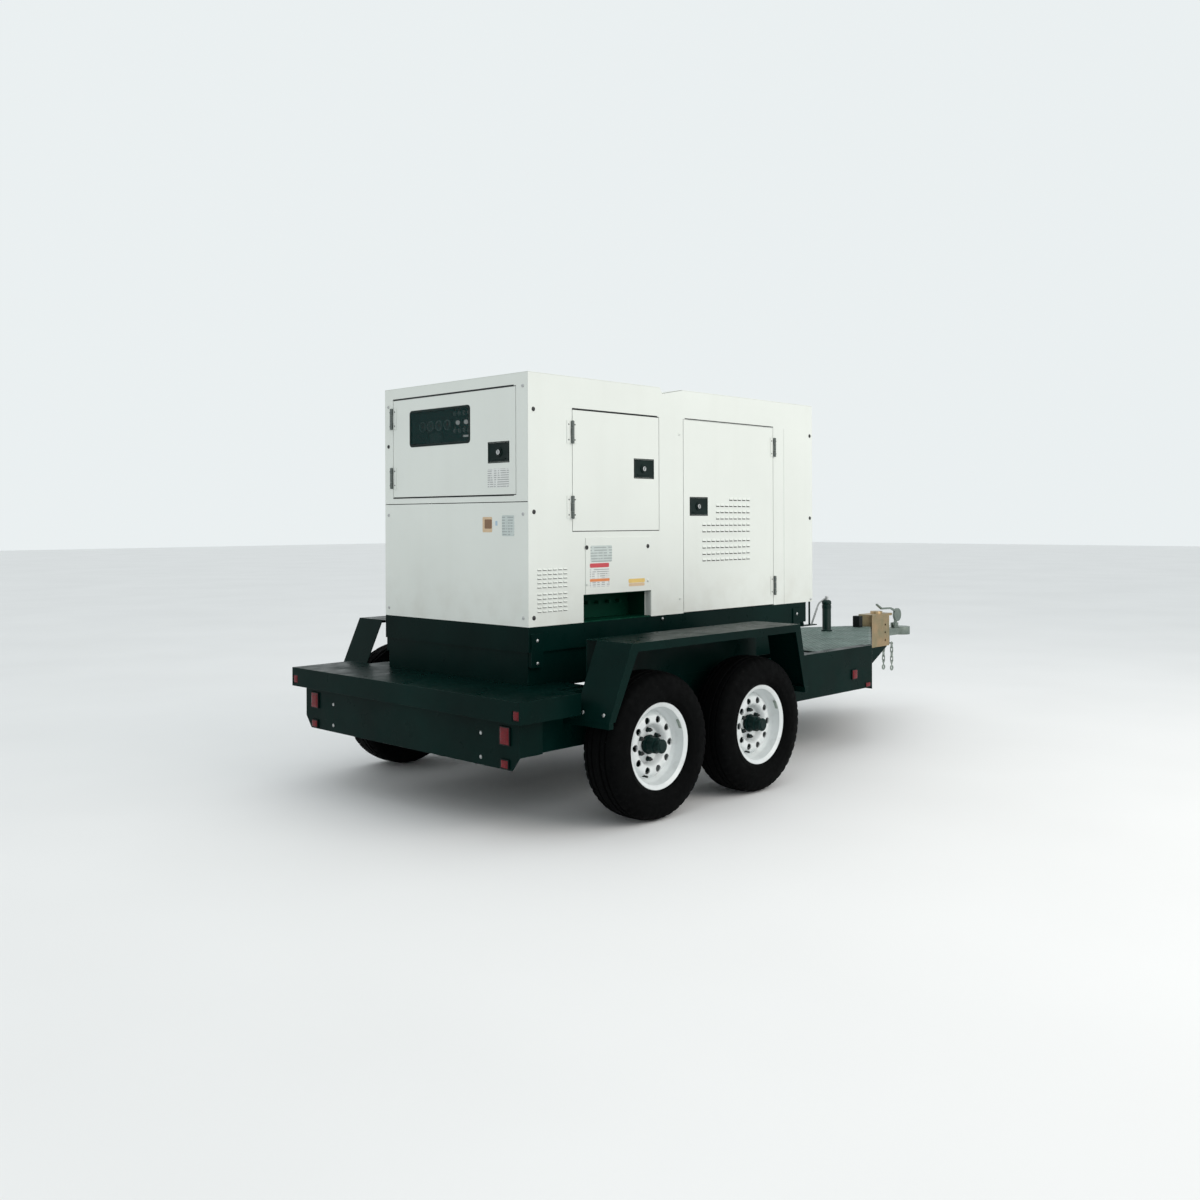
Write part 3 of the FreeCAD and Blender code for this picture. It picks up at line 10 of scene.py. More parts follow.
import bmesh
import bpy
from mathutils import Matrix, Vector


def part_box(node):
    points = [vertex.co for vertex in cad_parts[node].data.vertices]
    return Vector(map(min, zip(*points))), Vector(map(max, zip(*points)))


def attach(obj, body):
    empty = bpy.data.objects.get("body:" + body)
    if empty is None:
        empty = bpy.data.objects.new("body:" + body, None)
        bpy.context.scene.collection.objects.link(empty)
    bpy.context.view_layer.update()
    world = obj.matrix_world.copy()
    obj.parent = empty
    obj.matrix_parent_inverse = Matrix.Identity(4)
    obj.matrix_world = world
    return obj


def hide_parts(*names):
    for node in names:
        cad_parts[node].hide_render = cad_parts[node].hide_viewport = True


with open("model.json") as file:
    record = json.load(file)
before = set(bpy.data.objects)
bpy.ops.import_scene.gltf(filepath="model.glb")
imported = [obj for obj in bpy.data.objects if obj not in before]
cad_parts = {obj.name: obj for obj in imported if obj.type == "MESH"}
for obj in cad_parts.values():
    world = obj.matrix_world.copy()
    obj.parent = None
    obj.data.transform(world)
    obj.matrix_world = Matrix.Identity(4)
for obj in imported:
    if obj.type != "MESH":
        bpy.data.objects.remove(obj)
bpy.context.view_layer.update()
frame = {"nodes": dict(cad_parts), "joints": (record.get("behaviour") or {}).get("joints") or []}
nodes = frame["nodes"]

SIDES = {"right": -1, "left": 1}
CORNERS = {f"{end}_{side}": sign for side, sign in SIDES.items() for end in ("rear", "front")}
DOORS = ("control", "right_rear", "right_front", "left_rear", "left_front")
# A turn about Z that takes a piece drawn on the right side, facing -Y, to another face.
FACING = {
    "right": Matrix.Identity(4),
    "left": Matrix.Rotation(math.pi, 4, "Z"),
    "rear": Matrix.Rotation(-math.pi / 2, 4, "Z"),
    "front": Matrix.Rotation(math.pi / 2, 4, "Z"),
}


# -------- materials


class Paint:
    """One procedural material: short names for the nodes that it is made of."""

    def __init__(self, name, **shader):
        self.material = bpy.data.materials.new(name)
        self.material.use_nodes = True
        self.tree = self.material.node_tree
        self.tree.nodes.clear()
        self.shader = self.add("ShaderNodeBsdfPrincipled")
        output = self.add("ShaderNodeOutputMaterial")
        self.link(self.shader.outputs["BSDF"], output.inputs["Surface"])
        self.where = self.add("ShaderNodeTexCoord").outputs["Object"]
        for socket, value in shader.items():
            self.shader.inputs[socket.replace("_", " ")].default_value = value

    def add(self, kind, **settings):
        node = self.tree.nodes.new(kind)
        for key, value in settings.items():
            setattr(node, key, value)
        return node

    def link(self, a, b):
        self.tree.links.new(a, b)

    def fill(self, socket, value):
        """Link a socket to another node's output, or set its value."""
        if isinstance(value, bpy.types.NodeSocket):
            self.link(value, socket)
        else:
            socket.default_value = value

    def placed(self, kind, scale, stretch=(1, 1, 1)):
        """A texture in the object's own frame."""
        mapping = self.add("ShaderNodeMapping")
        mapping.inputs["Scale"].default_value = stretch
        self.link(self.where, mapping.inputs["Vector"])
        texture = self.add(kind)
        texture.inputs["Scale"].default_value = scale
        self.link(mapping.outputs["Vector"], texture.inputs["Vector"])
        return texture

    def noise(self, scale, detail=4.0, stretch=(1, 1, 1)):
        texture = self.placed("ShaderNodeTexNoise", scale, stretch)
        texture.inputs["Detail"].default_value = detail
        return texture.outputs["Fac"]

    def cells(self, scale):
        return self.placed("ShaderNodeTexVoronoi", scale).outputs["Distance"]

    def spread(self, value, low, high, to_low=0.0, to_high=1.0):
        """Stretch a value from low..high to another range, clamped."""
        ramp = self.add("ShaderNodeMapRange")
        for socket, number in (("From Min", low), ("From Max", high),
                               ("To Min", to_low), ("To Max", to_high)):
            ramp.inputs[socket].default_value = number
        self.link(value, ramp.inputs["Value"])
        return ramp.outputs["Result"]

    def soft(self, scale, detail, low=0.0, high=1.0, start=0.3, end=0.7, stretch=(1, 1, 1)):
        """Noise stretched from start..end to low..high, clamped."""
        return self.spread(self.noise(scale, detail, stretch), start, end, low, high)

    def calc(self, operation, a, b=0.0):
        step = self.add("ShaderNodeMath", operation=operation)
        self.fill(step.inputs[0], a)
        self.fill(step.inputs[1], b)
        return step.outputs["Value"]

    def times(self, a, b):
        return self.calc("MULTIPLY", a, b)

    def waves(self, value, length):
        """A sine along a value, with one crest in each length."""
        return self.calc("SINE", self.times(value, 2 * math.pi / length))

    def mix(self, share, a, b):
        blend = self.add("ShaderNodeMix", data_type="RGBA")
        self.fill(blend.inputs[0], share)
        for socket, colour in ((blend.inputs[6], a), (blend.inputs[7], b)):
            self.fill(socket, (*colour, 1.0) if isinstance(colour, tuple) else colour)
        return blend.outputs[2]

    def cloud(self, base, scale, detail, dark, light):
        """The base colour, darker and lighter in soft clouds."""
        return self.mix(self.soft(scale, detail), scaled(base, dark), scaled(base, light))

    def axis(self, name):
        split = self.add("ShaderNodeSeparateXYZ")
        self.link(self.where, split.inputs["Vector"])
        return split.outputs[name]

    def edges(self, radius):
        """1 on convex and concave edges, 0 on flats."""
        bevel = self.add("ShaderNodeBevel", samples=4)
        bevel.inputs["Radius"].default_value = radius
        dot = self.add("ShaderNodeVectorMath", operation="DOT_PRODUCT")
        for source, socket in zip((bevel, self.add("ShaderNodeNewGeometry")), dot.inputs):
            self.link(source.outputs["Normal"], socket)
        return self.spread(dot.outputs["Value"], 0.999, 0.9)

    def edge_wear_and_sheen(self, radius, scale, detail, start, end, most):
        """A mask that comes and goes along the edges: darker on the cabinet and the wheels, a painted
        highlight on the dark paints.
        """
        return self.times(self.edges(radius), self.soft(scale, detail, 0.0, most, start, end))

    def finish(self, colour, rough, bumps=()):
        """Wire the colour, the roughness and a chain of (height, strength, depth) bumps."""
        self.fill(self.shader.inputs["Base Color"], colour)
        self.fill(self.shader.inputs["Roughness"], rough)
        above = self.shader
        for height, strength, depth in reversed(bumps):
            bump = self.add("ShaderNodeBump")
            bump.inputs["Strength"].default_value = strength
            bump.inputs["Distance"].default_value = depth
            self.link(height, bump.inputs["Height"])
            self.link(bump.outputs["Normal"], above.inputs["Normal"])
            above = bump
        return self.material


def scaled(colour, share):
    return tuple(c * share for c in colour)


def cabinet_paint():
    """Off-white powder coat: orange peel, faint rain streaks, dust at the foot."""
    p = Paint("cabinet_powder_coat", Specular_IOR_Level=0.3)
    streaks = p.soft(5.0, 5, 0.0, 0.1, 0.5, 0.78, (1.4, 1.4, 0.12))
    stained = p.mix(streaks, p.cloud((0.715, 0.745, 0.705), 1.7, 3, 0.97, 1.02), (0.55, 0.56, 0.5))
    foot = p.spread(p.axis("Z"), 1.25, 0.92)
    dusty = p.mix(p.times(foot, p.soft(9, 6, 0.0, 0.3, 0.42, 0.8)), stained, (0.48, 0.46, 0.4))
    colour = p.mix(p.edge_wear_and_sheen(0.002, 30, 5, 0.5, 0.7, 0.35), dusty, (0.42, 0.43, 0.41))
    return p.finish(colour, p.soft(14, 4, 0.36, 0.48),
                    [(p.noise(420, 2), 0.05, 0.0006), (p.noise(2.2, 1), 0.05, 0.02)])


def trailer_paint(name, base, dust_top, gloss=(0.24, 0.4), shine=0.045):
    """Dark paint: gloss that varies, road dust low down, a painted highlight along the edges."""
    p = Paint(name, Specular_IOR_Level=shine)
    low = p.spread(p.axis("Z"), dust_top, dust_top - 0.45, 0.05, 1.0)
    dust = p.times(low, p.soft(7, 7, 0.0, 0.3, 0.45, 0.85))
    dusty = p.mix(dust, p.cloud(base, 2.3, 4, 0.75, 1.35), scaled(base, 2.6))
    # The edges are mixed towards a lighter colour below: a painted highlight.
    edge_highlight_colour = tuple(c * 4.0 + 0.012 for c in base)
    colour = p.mix(p.edge_wear_and_sheen(0.003, 24, 6, 0.48, 0.66, 0.75), dusty, edge_highlight_colour)
    rough = p.calc("ADD", p.soft(11, 5, *gloss), p.times(dust, 0.9))
    return p.finish(colour, rough, [(p.noise(300, 2), 0.07, 0.0008), (p.noise(3.5, 1), 0.1, 0.02)])


def wheel_paint():
    """White wheel enamel, darker in patches and along its edges and corners."""
    p = Paint("wheel_enamel", Coat_Weight=0.4, Coat_Roughness=0.15)
    grime = p.soft(18, 7, 0.0, 0.35, 0.5, 0.8)
    dirty = p.mix(grime, p.cloud((0.7, 0.735, 0.735), 6, 4, 0.93, 1.04), (0.36, 0.37, 0.36))
    colour = p.mix(p.edge_wear_and_sheen(0.002, 60, 4, 0.5, 0.7, 0.5), dirty, (0.3, 0.3, 0.29))
    return p.finish(colour, p.soft(25, 3, 0.26, 0.42), [(p.noise(350, 2), 0.05, 0.0005)])


def tyre_rubber():
    """Black rubber, dusty in patches, with fine rings moulded round the wall."""
    p = Paint("tyre_rubber", Specular_IOR_Level=0.04)
    cloud = p.cloud((0.0014, 0.0016, 0.0017), 8, 5, 0.8, 1.5)
    dusty = p.mix(p.soft(20, 8, 0.0, 0.32, 0.55, 0.85), cloud, (0.0065, 0.0065, 0.0058))
    across, up = p.axis("X"), p.axis("Z")
    squares = p.calc("ADD", p.times(across, across), p.times(up, up))
    rings = p.calc("SINE", p.times(p.calc("SQRT", squares), 1500.0))
    return p.finish(dusty, p.soft(40, 5, 0.62, 0.86),
                    [(rings, 0.1, 0.0006), (p.noise(260, 3), 0.25, 0.0008)])


def metal(name, base, tint, rough, metallic=1.0, scale=60):
    """Bare or plated metal: mottled colour, fine grain, dark scuffs and a painted highlight along every
    edge.
    """
    p = Paint(name, Metallic=metallic)
    cloud = p.mix(p.soft(scale * 0.4, 6, start=0.35), base, tint)
    scuffed = p.mix(p.soft(scale * 3, 6, 0.0, 0.4, 0.5, 0.75), cloud, scaled(base, 0.55))
    edge_glint_colour = tuple(min(1.0, c * 1.3) for c in base)
    # Every edge is lightened here: a painted highlight.
    colour = p.mix(p.times(p.edges(0.0015), 0.4), scuffed, edge_glint_colour)
    return p.finish(colour, p.soft(scale, 5, rough - 0.08, rough + 0.12),
                    [(p.noise(scale * 5, 4), 0.12, 0.0006)])


def plastic(name, base, rough, grain=700):
    """Moulded plastic with a leathery grain, faded in patches, and a painted highlight along the edges."""
    p = Paint(name, Specular_IOR_Level=0.15)
    # The lighter patches are fading; the lighter edges are a painted highlight.
    faded_and_highlit = p.mix(p.times(p.edges(0.002), 0.35), p.cloud(base, 12, 4, 0.8, 1.4),
                  tuple(c * 1.5 + 0.008 for c in base))
    return p.finish(faded_and_highlit, p.soft(30, 3, rough - 0.06, rough + 0.08), [(p.cells(grain), 0.12, 0.0005)])


def red_lens():
    """A ribbed red lamp lens."""
    p = Paint("red_lens", Coat_Weight=0.15, Coat_Roughness=0.1, Specular_IOR_Level=0.15)
    cloud = p.mix(p.soft(30, 3), (0.15, 0.004, 0.008), (0.24, 0.006, 0.013))
    prisms = p.cells(210)
    colour = p.mix(p.spread(prisms, 0.0, 0.6, 0.0, 0.55), cloud, (0.05, 0.001, 0.004))
    return p.finish(colour, p.soft(50, 2, 0.12, 0.22), [(prisms, 0.25, 0.0008)])


def window_glass():
    """The tinted pane, with smears of dust."""
    p = Paint("tinted_pane", Alpha=0.5, Specular_IOR_Level=0.12)
    smears = p.soft(7, 6, 0.0, 0.35, 0.55, 0.9, (1, 1, 0.4))
    colour = p.mix(smears, (0.003, 0.028, 0.026), (0.012, 0.042, 0.038))
    return p.finish(colour, p.soft(18, 5, 0.04, 0.16, end=0.8))


def chequer_metal():
    """Bare aluminium chequer plate, scuffed and dull."""
    p = Paint("chequer_aluminium", Metallic=0.7)
    scuffs = p.soft(90, 6, 0.0, 0.4, 0.5, 0.8, (1, 0.15, 1))
    colour = p.mix(scuffs, p.cloud((0.13, 0.185, 0.165), 5, 6, 0.72, 1.15), (0.24, 0.29, 0.27))
    return p.finish(colour, p.soft(22, 5, 0.34, 0.58), [(p.noise(240, 4), 0.12, 0.0006)])


def printed(name, base, ink=None, lines=0.0, **glow):
    """A vinyl label. Its ink is plain bars a set distance apart, with no lettering."""
    p = Paint(name, Coat_Weight=0.3, Coat_Roughness=0.2, **glow)
    tone = p.cloud(base, 35, 4, 0.92, 1.05)
    if lines:
        breaks = p.soft(60, 0, start=0.4, end=0.42, stretch=(1, 1, 0.2))
        inked = p.times(p.spread(p.waves(p.axis("Z"), lines), 0.2, 0.4), breaks)
        tone = p.mix(p.times(inked, 0.75), tone, ink)
    return p.finish(tone, p.soft(20, 3, 0.3, 0.45), [(p.noise(200, 2), 0.04, 0.0004)])


def foam():
    """Black acoustic foam: rounded peaks in rows."""
    p = Paint("acoustic_foam", Specular_IOR_Level=0.15)
    peaks = p.cells(34)
    colour = p.mix(p.spread(peaks, 0.1, 0.7), (0.035, 0.035, 0.037), (0.01, 0.01, 0.011))
    return p.finish(colour, p.soft(80, 3, 0.85, 1.0),
                    [(peaks, 0.8, 0.006), (p.noise(600, 2), 0.3, 0.001)])


def finned_core():
    """The radiator core: fine fins across dark tubes."""
    p = Paint("finned_core", Metallic=0.3)
    fins, tubes = p.waves(p.axis("Z"), 0.004), p.waves(p.axis("Y"), 0.012)
    colour = p.mix(p.spread(tubes, -0.3, 0.5), (0.012, 0.012, 0.013), (0.055, 0.055, 0.058))
    return p.finish(colour, p.soft(40, 3, 0.5, 0.7), [(fins, 0.4, 0.001), (tubes, 0.4, 0.002)])


def floor_paint():
    p = Paint("studio_floor", Specular_IOR_Level=0.2)
    colour = p.mix(p.soft(0.6, 2), (0.8, 0.8, 0.8), (0.83, 0.83, 0.83))
    return p.finish(colour, p.soft(3, 2, 0.7, 0.8))


GREEN = (0.0006, 0.0098, 0.008)
LOOK = {
    "cabinet": cabinet_paint(),
    "trailer": trailer_paint("trailer_green", GREEN, 0.85),
    "jack": trailer_paint("jack_green", (0.0022, 0.018, 0.0145), 0.6, shine=0.2),
    "wheel": wheel_paint(),
    "tyre": tyre_rubber(),
    "hub": trailer_paint("hub_black", (0.003, 0.015, 0.0135), 0.2, (0.3, 0.45), 0.12),
    "lens": red_lens(),
    "black": plastic("black_moulding", (0.0035, 0.006, 0.006), 0.45),
    "latch": plastic("latch_moulding", (0.0022, 0.0105, 0.009), 0.42),
    "glass": window_glass(),
    "chequer": chequer_metal(),
    "steel": metal("bright_steel", (0.55, 0.56, 0.56), (0.42, 0.43, 0.43), 0.3),
    "dark_steel": metal("blackened_steel", (0.035, 0.037, 0.038), (0.06, 0.06, 0.06), 0.45, metallic=0.6),
    "zinc": metal("yellow_zinc", (0.44, 0.31, 0.18), (0.27, 0.25, 0.15), 0.38, scale=26),
    "coupler": metal("cast_grey", (0.22, 0.26, 0.23), (0.15, 0.19, 0.17), 0.5, metallic=0.55),
    "chain": metal("dull_zinc", (0.4, 0.44, 0.4), (0.26, 0.31, 0.28), 0.42),
    "engine": trailer_paint("engine_grey", (0.04, 0.048, 0.052), 1.0, (0.4, 0.6)),
    "alternator": trailer_paint("alternator_grey", (0.085, 0.09, 0.09), 1.0, (0.4, 0.6)),
    "muffler": metal("heated_steel", (0.3, 0.27, 0.23), (0.2, 0.17, 0.19), 0.5),
    "core": finned_core(),
    "foam": foam(),
    "board": plastic("board_black", (0.004, 0.01, 0.012), 0.38, 900),
    # Dark grey steel; on the knuckle sleeves its darkness also stands in for their shade.
    "hinge": metal("hinge_steel_and_shade", (0.135, 0.155, 0.145), (0.1, 0.115, 0.11), 0.42, metallic=0.5),
    "recess": trailer_paint("recess_green", (0.0015, 0.034, 0.019), 0.9, (0.35, 0.5)),
}
LOOK["label"] = printed("label_white", (0.7, 0.72, 0.7), (0.2, 0.21, 0.21), 0.011)
LOOK["label_grey"] = printed("label_grey", (0.52, 0.58, 0.56), (0.25, 0.28, 0.28), 0.014)
# A faint glow on plates that are no lamps: painted light, so that they show through the tinted pane.
LOOK["lit"] = printed("glowing_dial_paint", (0.42, 0.55, 0.54), Emission_Strength=0.6)
for tint, base in {"red": (0.55, 0.045, 0.06), "orange": (0.72, 0.22, 0.06),
                   "yellow": (0.72, 0.5, 0.14), "brown": (0.2, 0.1, 0.04),
                   "tan": (0.62, 0.45, 0.28), "blue": (0.36, 0.5, 0.62),
                   "dark": (0.03, 0.05, 0.047)}.items():
    LOOK[f"label_{tint}"] = printed(f"label_{tint}", base)


# -------- mesh helpers

UPRIGHT = Matrix.Rotation(math.pi / 2, 4, "X")  # turns a lathe about Y into one about Z


def shade(mesh, angle):
    """Smooth shading that stays sharp at edges over the angle."""
    mesh.polygons.foreach_set("use_smooth", [True] * len(mesh.polygons))
    mesh.set_sharp_from_angle(angle=math.radians(angle))


def rounded_edges(obj, width, segments=2, angle=40):
    bevel = obj.modifiers.new("edges", "BEVEL")
    bevel.width, bevel.segments = width, segments
    bevel.limit_method, bevel.angle_limit = "ANGLE", math.radians(angle)
    bevel.harden_normals = True


def at(x, y, z):
    return Matrix.Translation((x, y, z))


def on_circle(radius, turn, y=0.0):
    """A point on a circle round the Y axis."""
    return Vector((radius * math.cos(turn), y, radius * math.sin(turn)))


def skin_of(facing):
    """How far out the cabinet's wall is on that face, in the face's own frame."""
    return local_box("end_walls" if facing == "rear" else "side_walls", facing)[0].y


def join_loops(bm, loops, closed=False, capped=False):
    """Quads between successive rings of vertices. closed joins the last ring to the first."""
    pairs = list(zip(loops, loops[1:]))
    if closed:
        pairs.append((loops[-1], loops[0]))
    for a, b in pairs:
        for i in range(len(a)):
            j = (i + 1) % len(a)
            bm.faces.new((a[i], a[j], b[j], b[i]))
    if capped:
        bm.faces.new(loops[0])
        bm.faces.new(loops[-1])


def in_scene(name, data):
    """A new object of the scene that holds the data."""
    obj = bpy.data.objects.new(name, data)
    bpy.context.scene.collection.objects.link(obj)
    return obj


def made(name, bm, body, look, slot, matrix=None, bevel=0.0, angle=35, segments=2):
    """Turn a bmesh into a piece with a material that rides on a body."""
    mesh = bpy.data.meshes.new(name)
    bmesh.ops.recalc_face_normals(bm, faces=bm.faces)
    bm.to_mesh(mesh)
    bm.free()
    mesh.materials.append(LOOK[look])
    shade(mesh, angle)
    obj = in_scene(name, mesh)
    if matrix is not None:
        obj.matrix_world = matrix
    if bevel:
        rounded_edges(obj, bevel, segments)
    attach(obj, body)
    return obj


def on_body(name, bm, place, look, slot, **finish):
    """A piece at a (body, matrix) place."""
    return made(name, bm, place[0], look, slot, place[1], **finish)


def add_box(bm, low, high):
    low, high = Vector(low), Vector(high)
    placed = Matrix.Translation((low + high) / 2) @ Matrix.Diagonal((*(high - low), 1.0))
    return bmesh.ops.create_cube(bm, size=1.0, matrix=placed)["verts"]


def add_cylinder(bm, start, end, radius, end_radius=None, segments=32):
    start, end = Vector(start), Vector(end)
    turn = (end - start).to_track_quat("Z", "Y").to_matrix().to_4x4()
    placed = Matrix.Translation((start + end) / 2) @ turn
    end_radius = radius if end_radius is None else end_radius
    return bmesh.ops.create_cone(bm, cap_ends=True, segments=segments, radius1=radius,
                                 radius2=end_radius, depth=(end - start).length,
                                 matrix=placed)["verts"]


def add_lathe(bm, profile, segments, matrix=None, reshape=None):
    """Revolve a closed (y, r) outline about Y. reshape gives each ring its own radii."""
    matrix = matrix or Matrix.Identity(4)
    rings = []
    for i in range(segments):
        turn = 2 * math.pi * i / segments
        radii = [(y, reshape(i, y, r) if reshape else r) for y, r in profile]
        rings.append([bm.verts.new(matrix @ on_circle(r, turn, y)) for y, r in radii])
    join_loops(bm, rings, closed=True)


def corner_cut(points):
    """Round a closed outline by cutting its corners."""
    return [(share * ay + (1 - share) * by, share * ar + (1 - share) * br)
            for (ay, ar), (by, br) in zip(points, points[1:] + points[:1]) for share in (0.75, 0.25)]


def carved(obj, cutters):
    """Cut a bmesh of closed shapes, drawn in the object's own frame, out of it."""
    mesh = bpy.data.meshes.new("cutters")
    cutters.to_mesh(mesh)
    cutters.free()
    tool = in_scene("cutters", mesh)
    tool.matrix_world = obj.matrix_world
    boolean = obj.modifiers.new("holes", "BOOLEAN")
    boolean.object = tool
    boolean.solver = "EXACT"
    bpy.context.view_layer.update()
    result = bpy.data.meshes.new_from_object(obj.evaluated_get(bpy.context.evaluated_depsgraph_get()))
    obj.modifiers.remove(boolean)
    obj.data = result
    bpy.data.objects.remove(tool)
    shade(result, 35)


def islands(node):
    """The boxes of a node's separate solids, in a fixed order."""
    bm = bmesh.new()
    bm.from_mesh(nodes[node].data)
    bmesh.ops.remove_doubles(bm, verts=bm.verts, dist=1e-5)
    left = set(bm.verts)
    boxes = []
    while left:
        stack, found = [left.pop()], []
        while stack:
            vert = stack.pop()
            found.append(vert.co)
            near = {edge.other_vert(vert) for edge in vert.link_edges} & left
            left -= near
            stack += near
        boxes.append(tuple(Vector(pick(co[i] for co in found) for i in range(3)) for pick in (min, max)))
    bm.free()
    return sorted(boxes, key=lambda box: tuple(round(c, 4) for c in box[0]))


def facing_of(door):
    return "rear" if door == "control" else door.split("_")[0]


def local_box(node, facing):
    """A node's box in the frame that looks at that face from outside."""
    back = FACING[facing].inverted()
    ends = [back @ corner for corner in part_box(node)]
    return Vector(map(min, *ends)), Vector(map(max, *ends))


def outward(low, high):
    """The thin axis of a small outside piece, and its way out from the middle of the trailer."""
    axis = min(range(3), key=list(high - low).__getitem__)
    direction = Vector((0, 0, 0))
    direction[axis] = -1.0 if low[axis] + high[axis] < 0 else 1.0
    return axis, direction


def grid_frame(direction):
    """A turn that takes -Y to the direction and keeps Z up."""
    side = direction.cross(Vector((0, 0, 1))).normalized()
    up = side.cross(direction)
    turn = Matrix((-side, -direction, up)).transposed()
    if turn.determinant() < 0:
        turn = Matrix((side, -direction, up)).transposed()
    return turn.to_4x4()


def add_border(bm, x0, x1, z0, z1, wide, y0, y1, butted=True):
    """Four bars round a rectangle. Butted bars leave the corners to the upright ones."""
    inset = wide if butted else 0.0
    boxes = ((x0, x0 + wide, z0, z1), (x1 - wide, x1, z0, z1),
             (x0 + inset, x1 - inset, z0, z0 + wide), (x0 + inset, x1 - inset, z1 - wide, z1))
    return [vert for a, b, c, d in boxes for vert in add_box(bm, (a, y0, c), (b, y1, d))]


# -------- carried-over nodes

CARRIED = {
    "cabinet": "side_walls end_walls roof outlet_cover hinge_leaves".split()
    + [f"{door}_door" for door in DOORS],
    "trailer": "frame tongue rear_deck rear_skirt fender_right fender_left axle_tubes fuel_tank "
               "skid_base".split() + [f"arm_{corner}" for corner in CORNERS],
    "hub": [f"hub_{corner}" for corner in CORNERS],
    "chequer": ["tread_deck"],
    "glass": ["control_window"],
    "board": ["control_board"],
    "engine": ["engine"],
    "alternator": ["alternator"],
    "core": ["radiator"],
    "black": ["cooling_fan", "breakaway_box"],
    "muffler": ["muffler"],
    "zinc": ["coupler_head"],
    "coupler": ["coupler", "coupler_latch"],
    "chain": ["safety_chain_right", "safety_chain_left"],
    "jack": ["jack_tube", "jack_leg"],
    "recess": ["cable_recess"],
}
EDGE = {"cabinet": 0.0018, "trailer": 0.0022, "hub": 0.0015, "engine": 0.006,
        "alternator": 0.005, "black": 0.003, "zinc": 0.0025, "coupler": 0.003, "jack": 0.0015,
        "recess": 0.0012, "muffler": 0.002, "board": 0.0015, "chequer": 0.0008}


def dress_nodes():
    """Give each CAD node its material, welded smooth shading and small rounded edges."""
    for look, names in CARRIED.items():
        for name in names:
            obj = nodes[name]
            obj.data.materials.clear()
            obj.data.materials.append(LOOK[look])
            weld = obj.modifiers.new("weld", "WELD")
            weld.merge_threshold = 1e-5
            if look in EDGE:
                rounded_edges(obj, EDGE[look])


# -------- wheels

VENT_CIRCLE, VENT_RADIUS, VENTS = 0.124, 0.017, 10
STUD_CIRCLE, STUDS = 0.06985, 6
VALVE_CIRCLE, VALVE_TURN = 0.152, math.radians(250)
TREAD_RINGS, SHOULDER_CUT, RIB_CUT = 176, 0.0055, 0.0035

def tyre(corner):
    """Ribbed tread with grooves and shoulder notches, a bulged wall and a bead."""
    low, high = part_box(f"tyre_{corner}")
    radius, half = (high.z - low.z) / 2, (high.y - low.y) / 2
    outer = [
        (0.000, 0.0), (0.019, 0.0), (0.0215, 0.009), (0.0285, 0.009), (0.031, 0.0008),
        (0.05, 0.0022), (0.0525, 0.011), (0.0595, 0.011), (0.062, 0.0042), (0.074, 0.007),
        (0.086, 0.012), (0.0945, 0.02), (0.1005, 0.032), (0.106, 0.05), (half - 0.002, 0.068),
        (half, 0.084), (half - 0.001, 0.1), (0.1075, 0.112), (0.1085, 0.116), (0.1035, 0.127),
        (0.096, 0.138), (0.0905, 0.1445), (0.086, 0.147), (0.081, 0.1475), (0.079, 0.163),
    ]
    inner = [(0.062, 0.163), (0.064, 0.14), (0.098, 0.095), (0.098, 0.06), (0.075, 0.02)]
    half_loop = [(y, radius - drop) for y, drop in outer + inner]
    loop = half_loop + [(-y, r) for y, r in reversed(half_loop[1:])]

    def notched(i, y, r):
        """Cuts in every fourth ring of the shoulder, and in the next rib between them."""
        across = abs(y)
        if i % 4 == 0 and 0.068 < across < 0.104 and r > radius - 0.045:
            return r - SHOULDER_CUT
        if i % 4 == 2 and 0.03 < across < 0.051 and r > radius - 0.006:
            return r - RIB_CUT
        return r

    bm = bmesh.new()
    add_lathe(bm, loop, TREAD_RINGS, reshape=notched)
    piece = made(f"tyre_skin_{corner}", bm, f"wheel_{corner}", "tyre", "tyre",
                 Matrix.Translation((low + high) / 2), angle=42)
    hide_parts(f"tyre_{corner}")


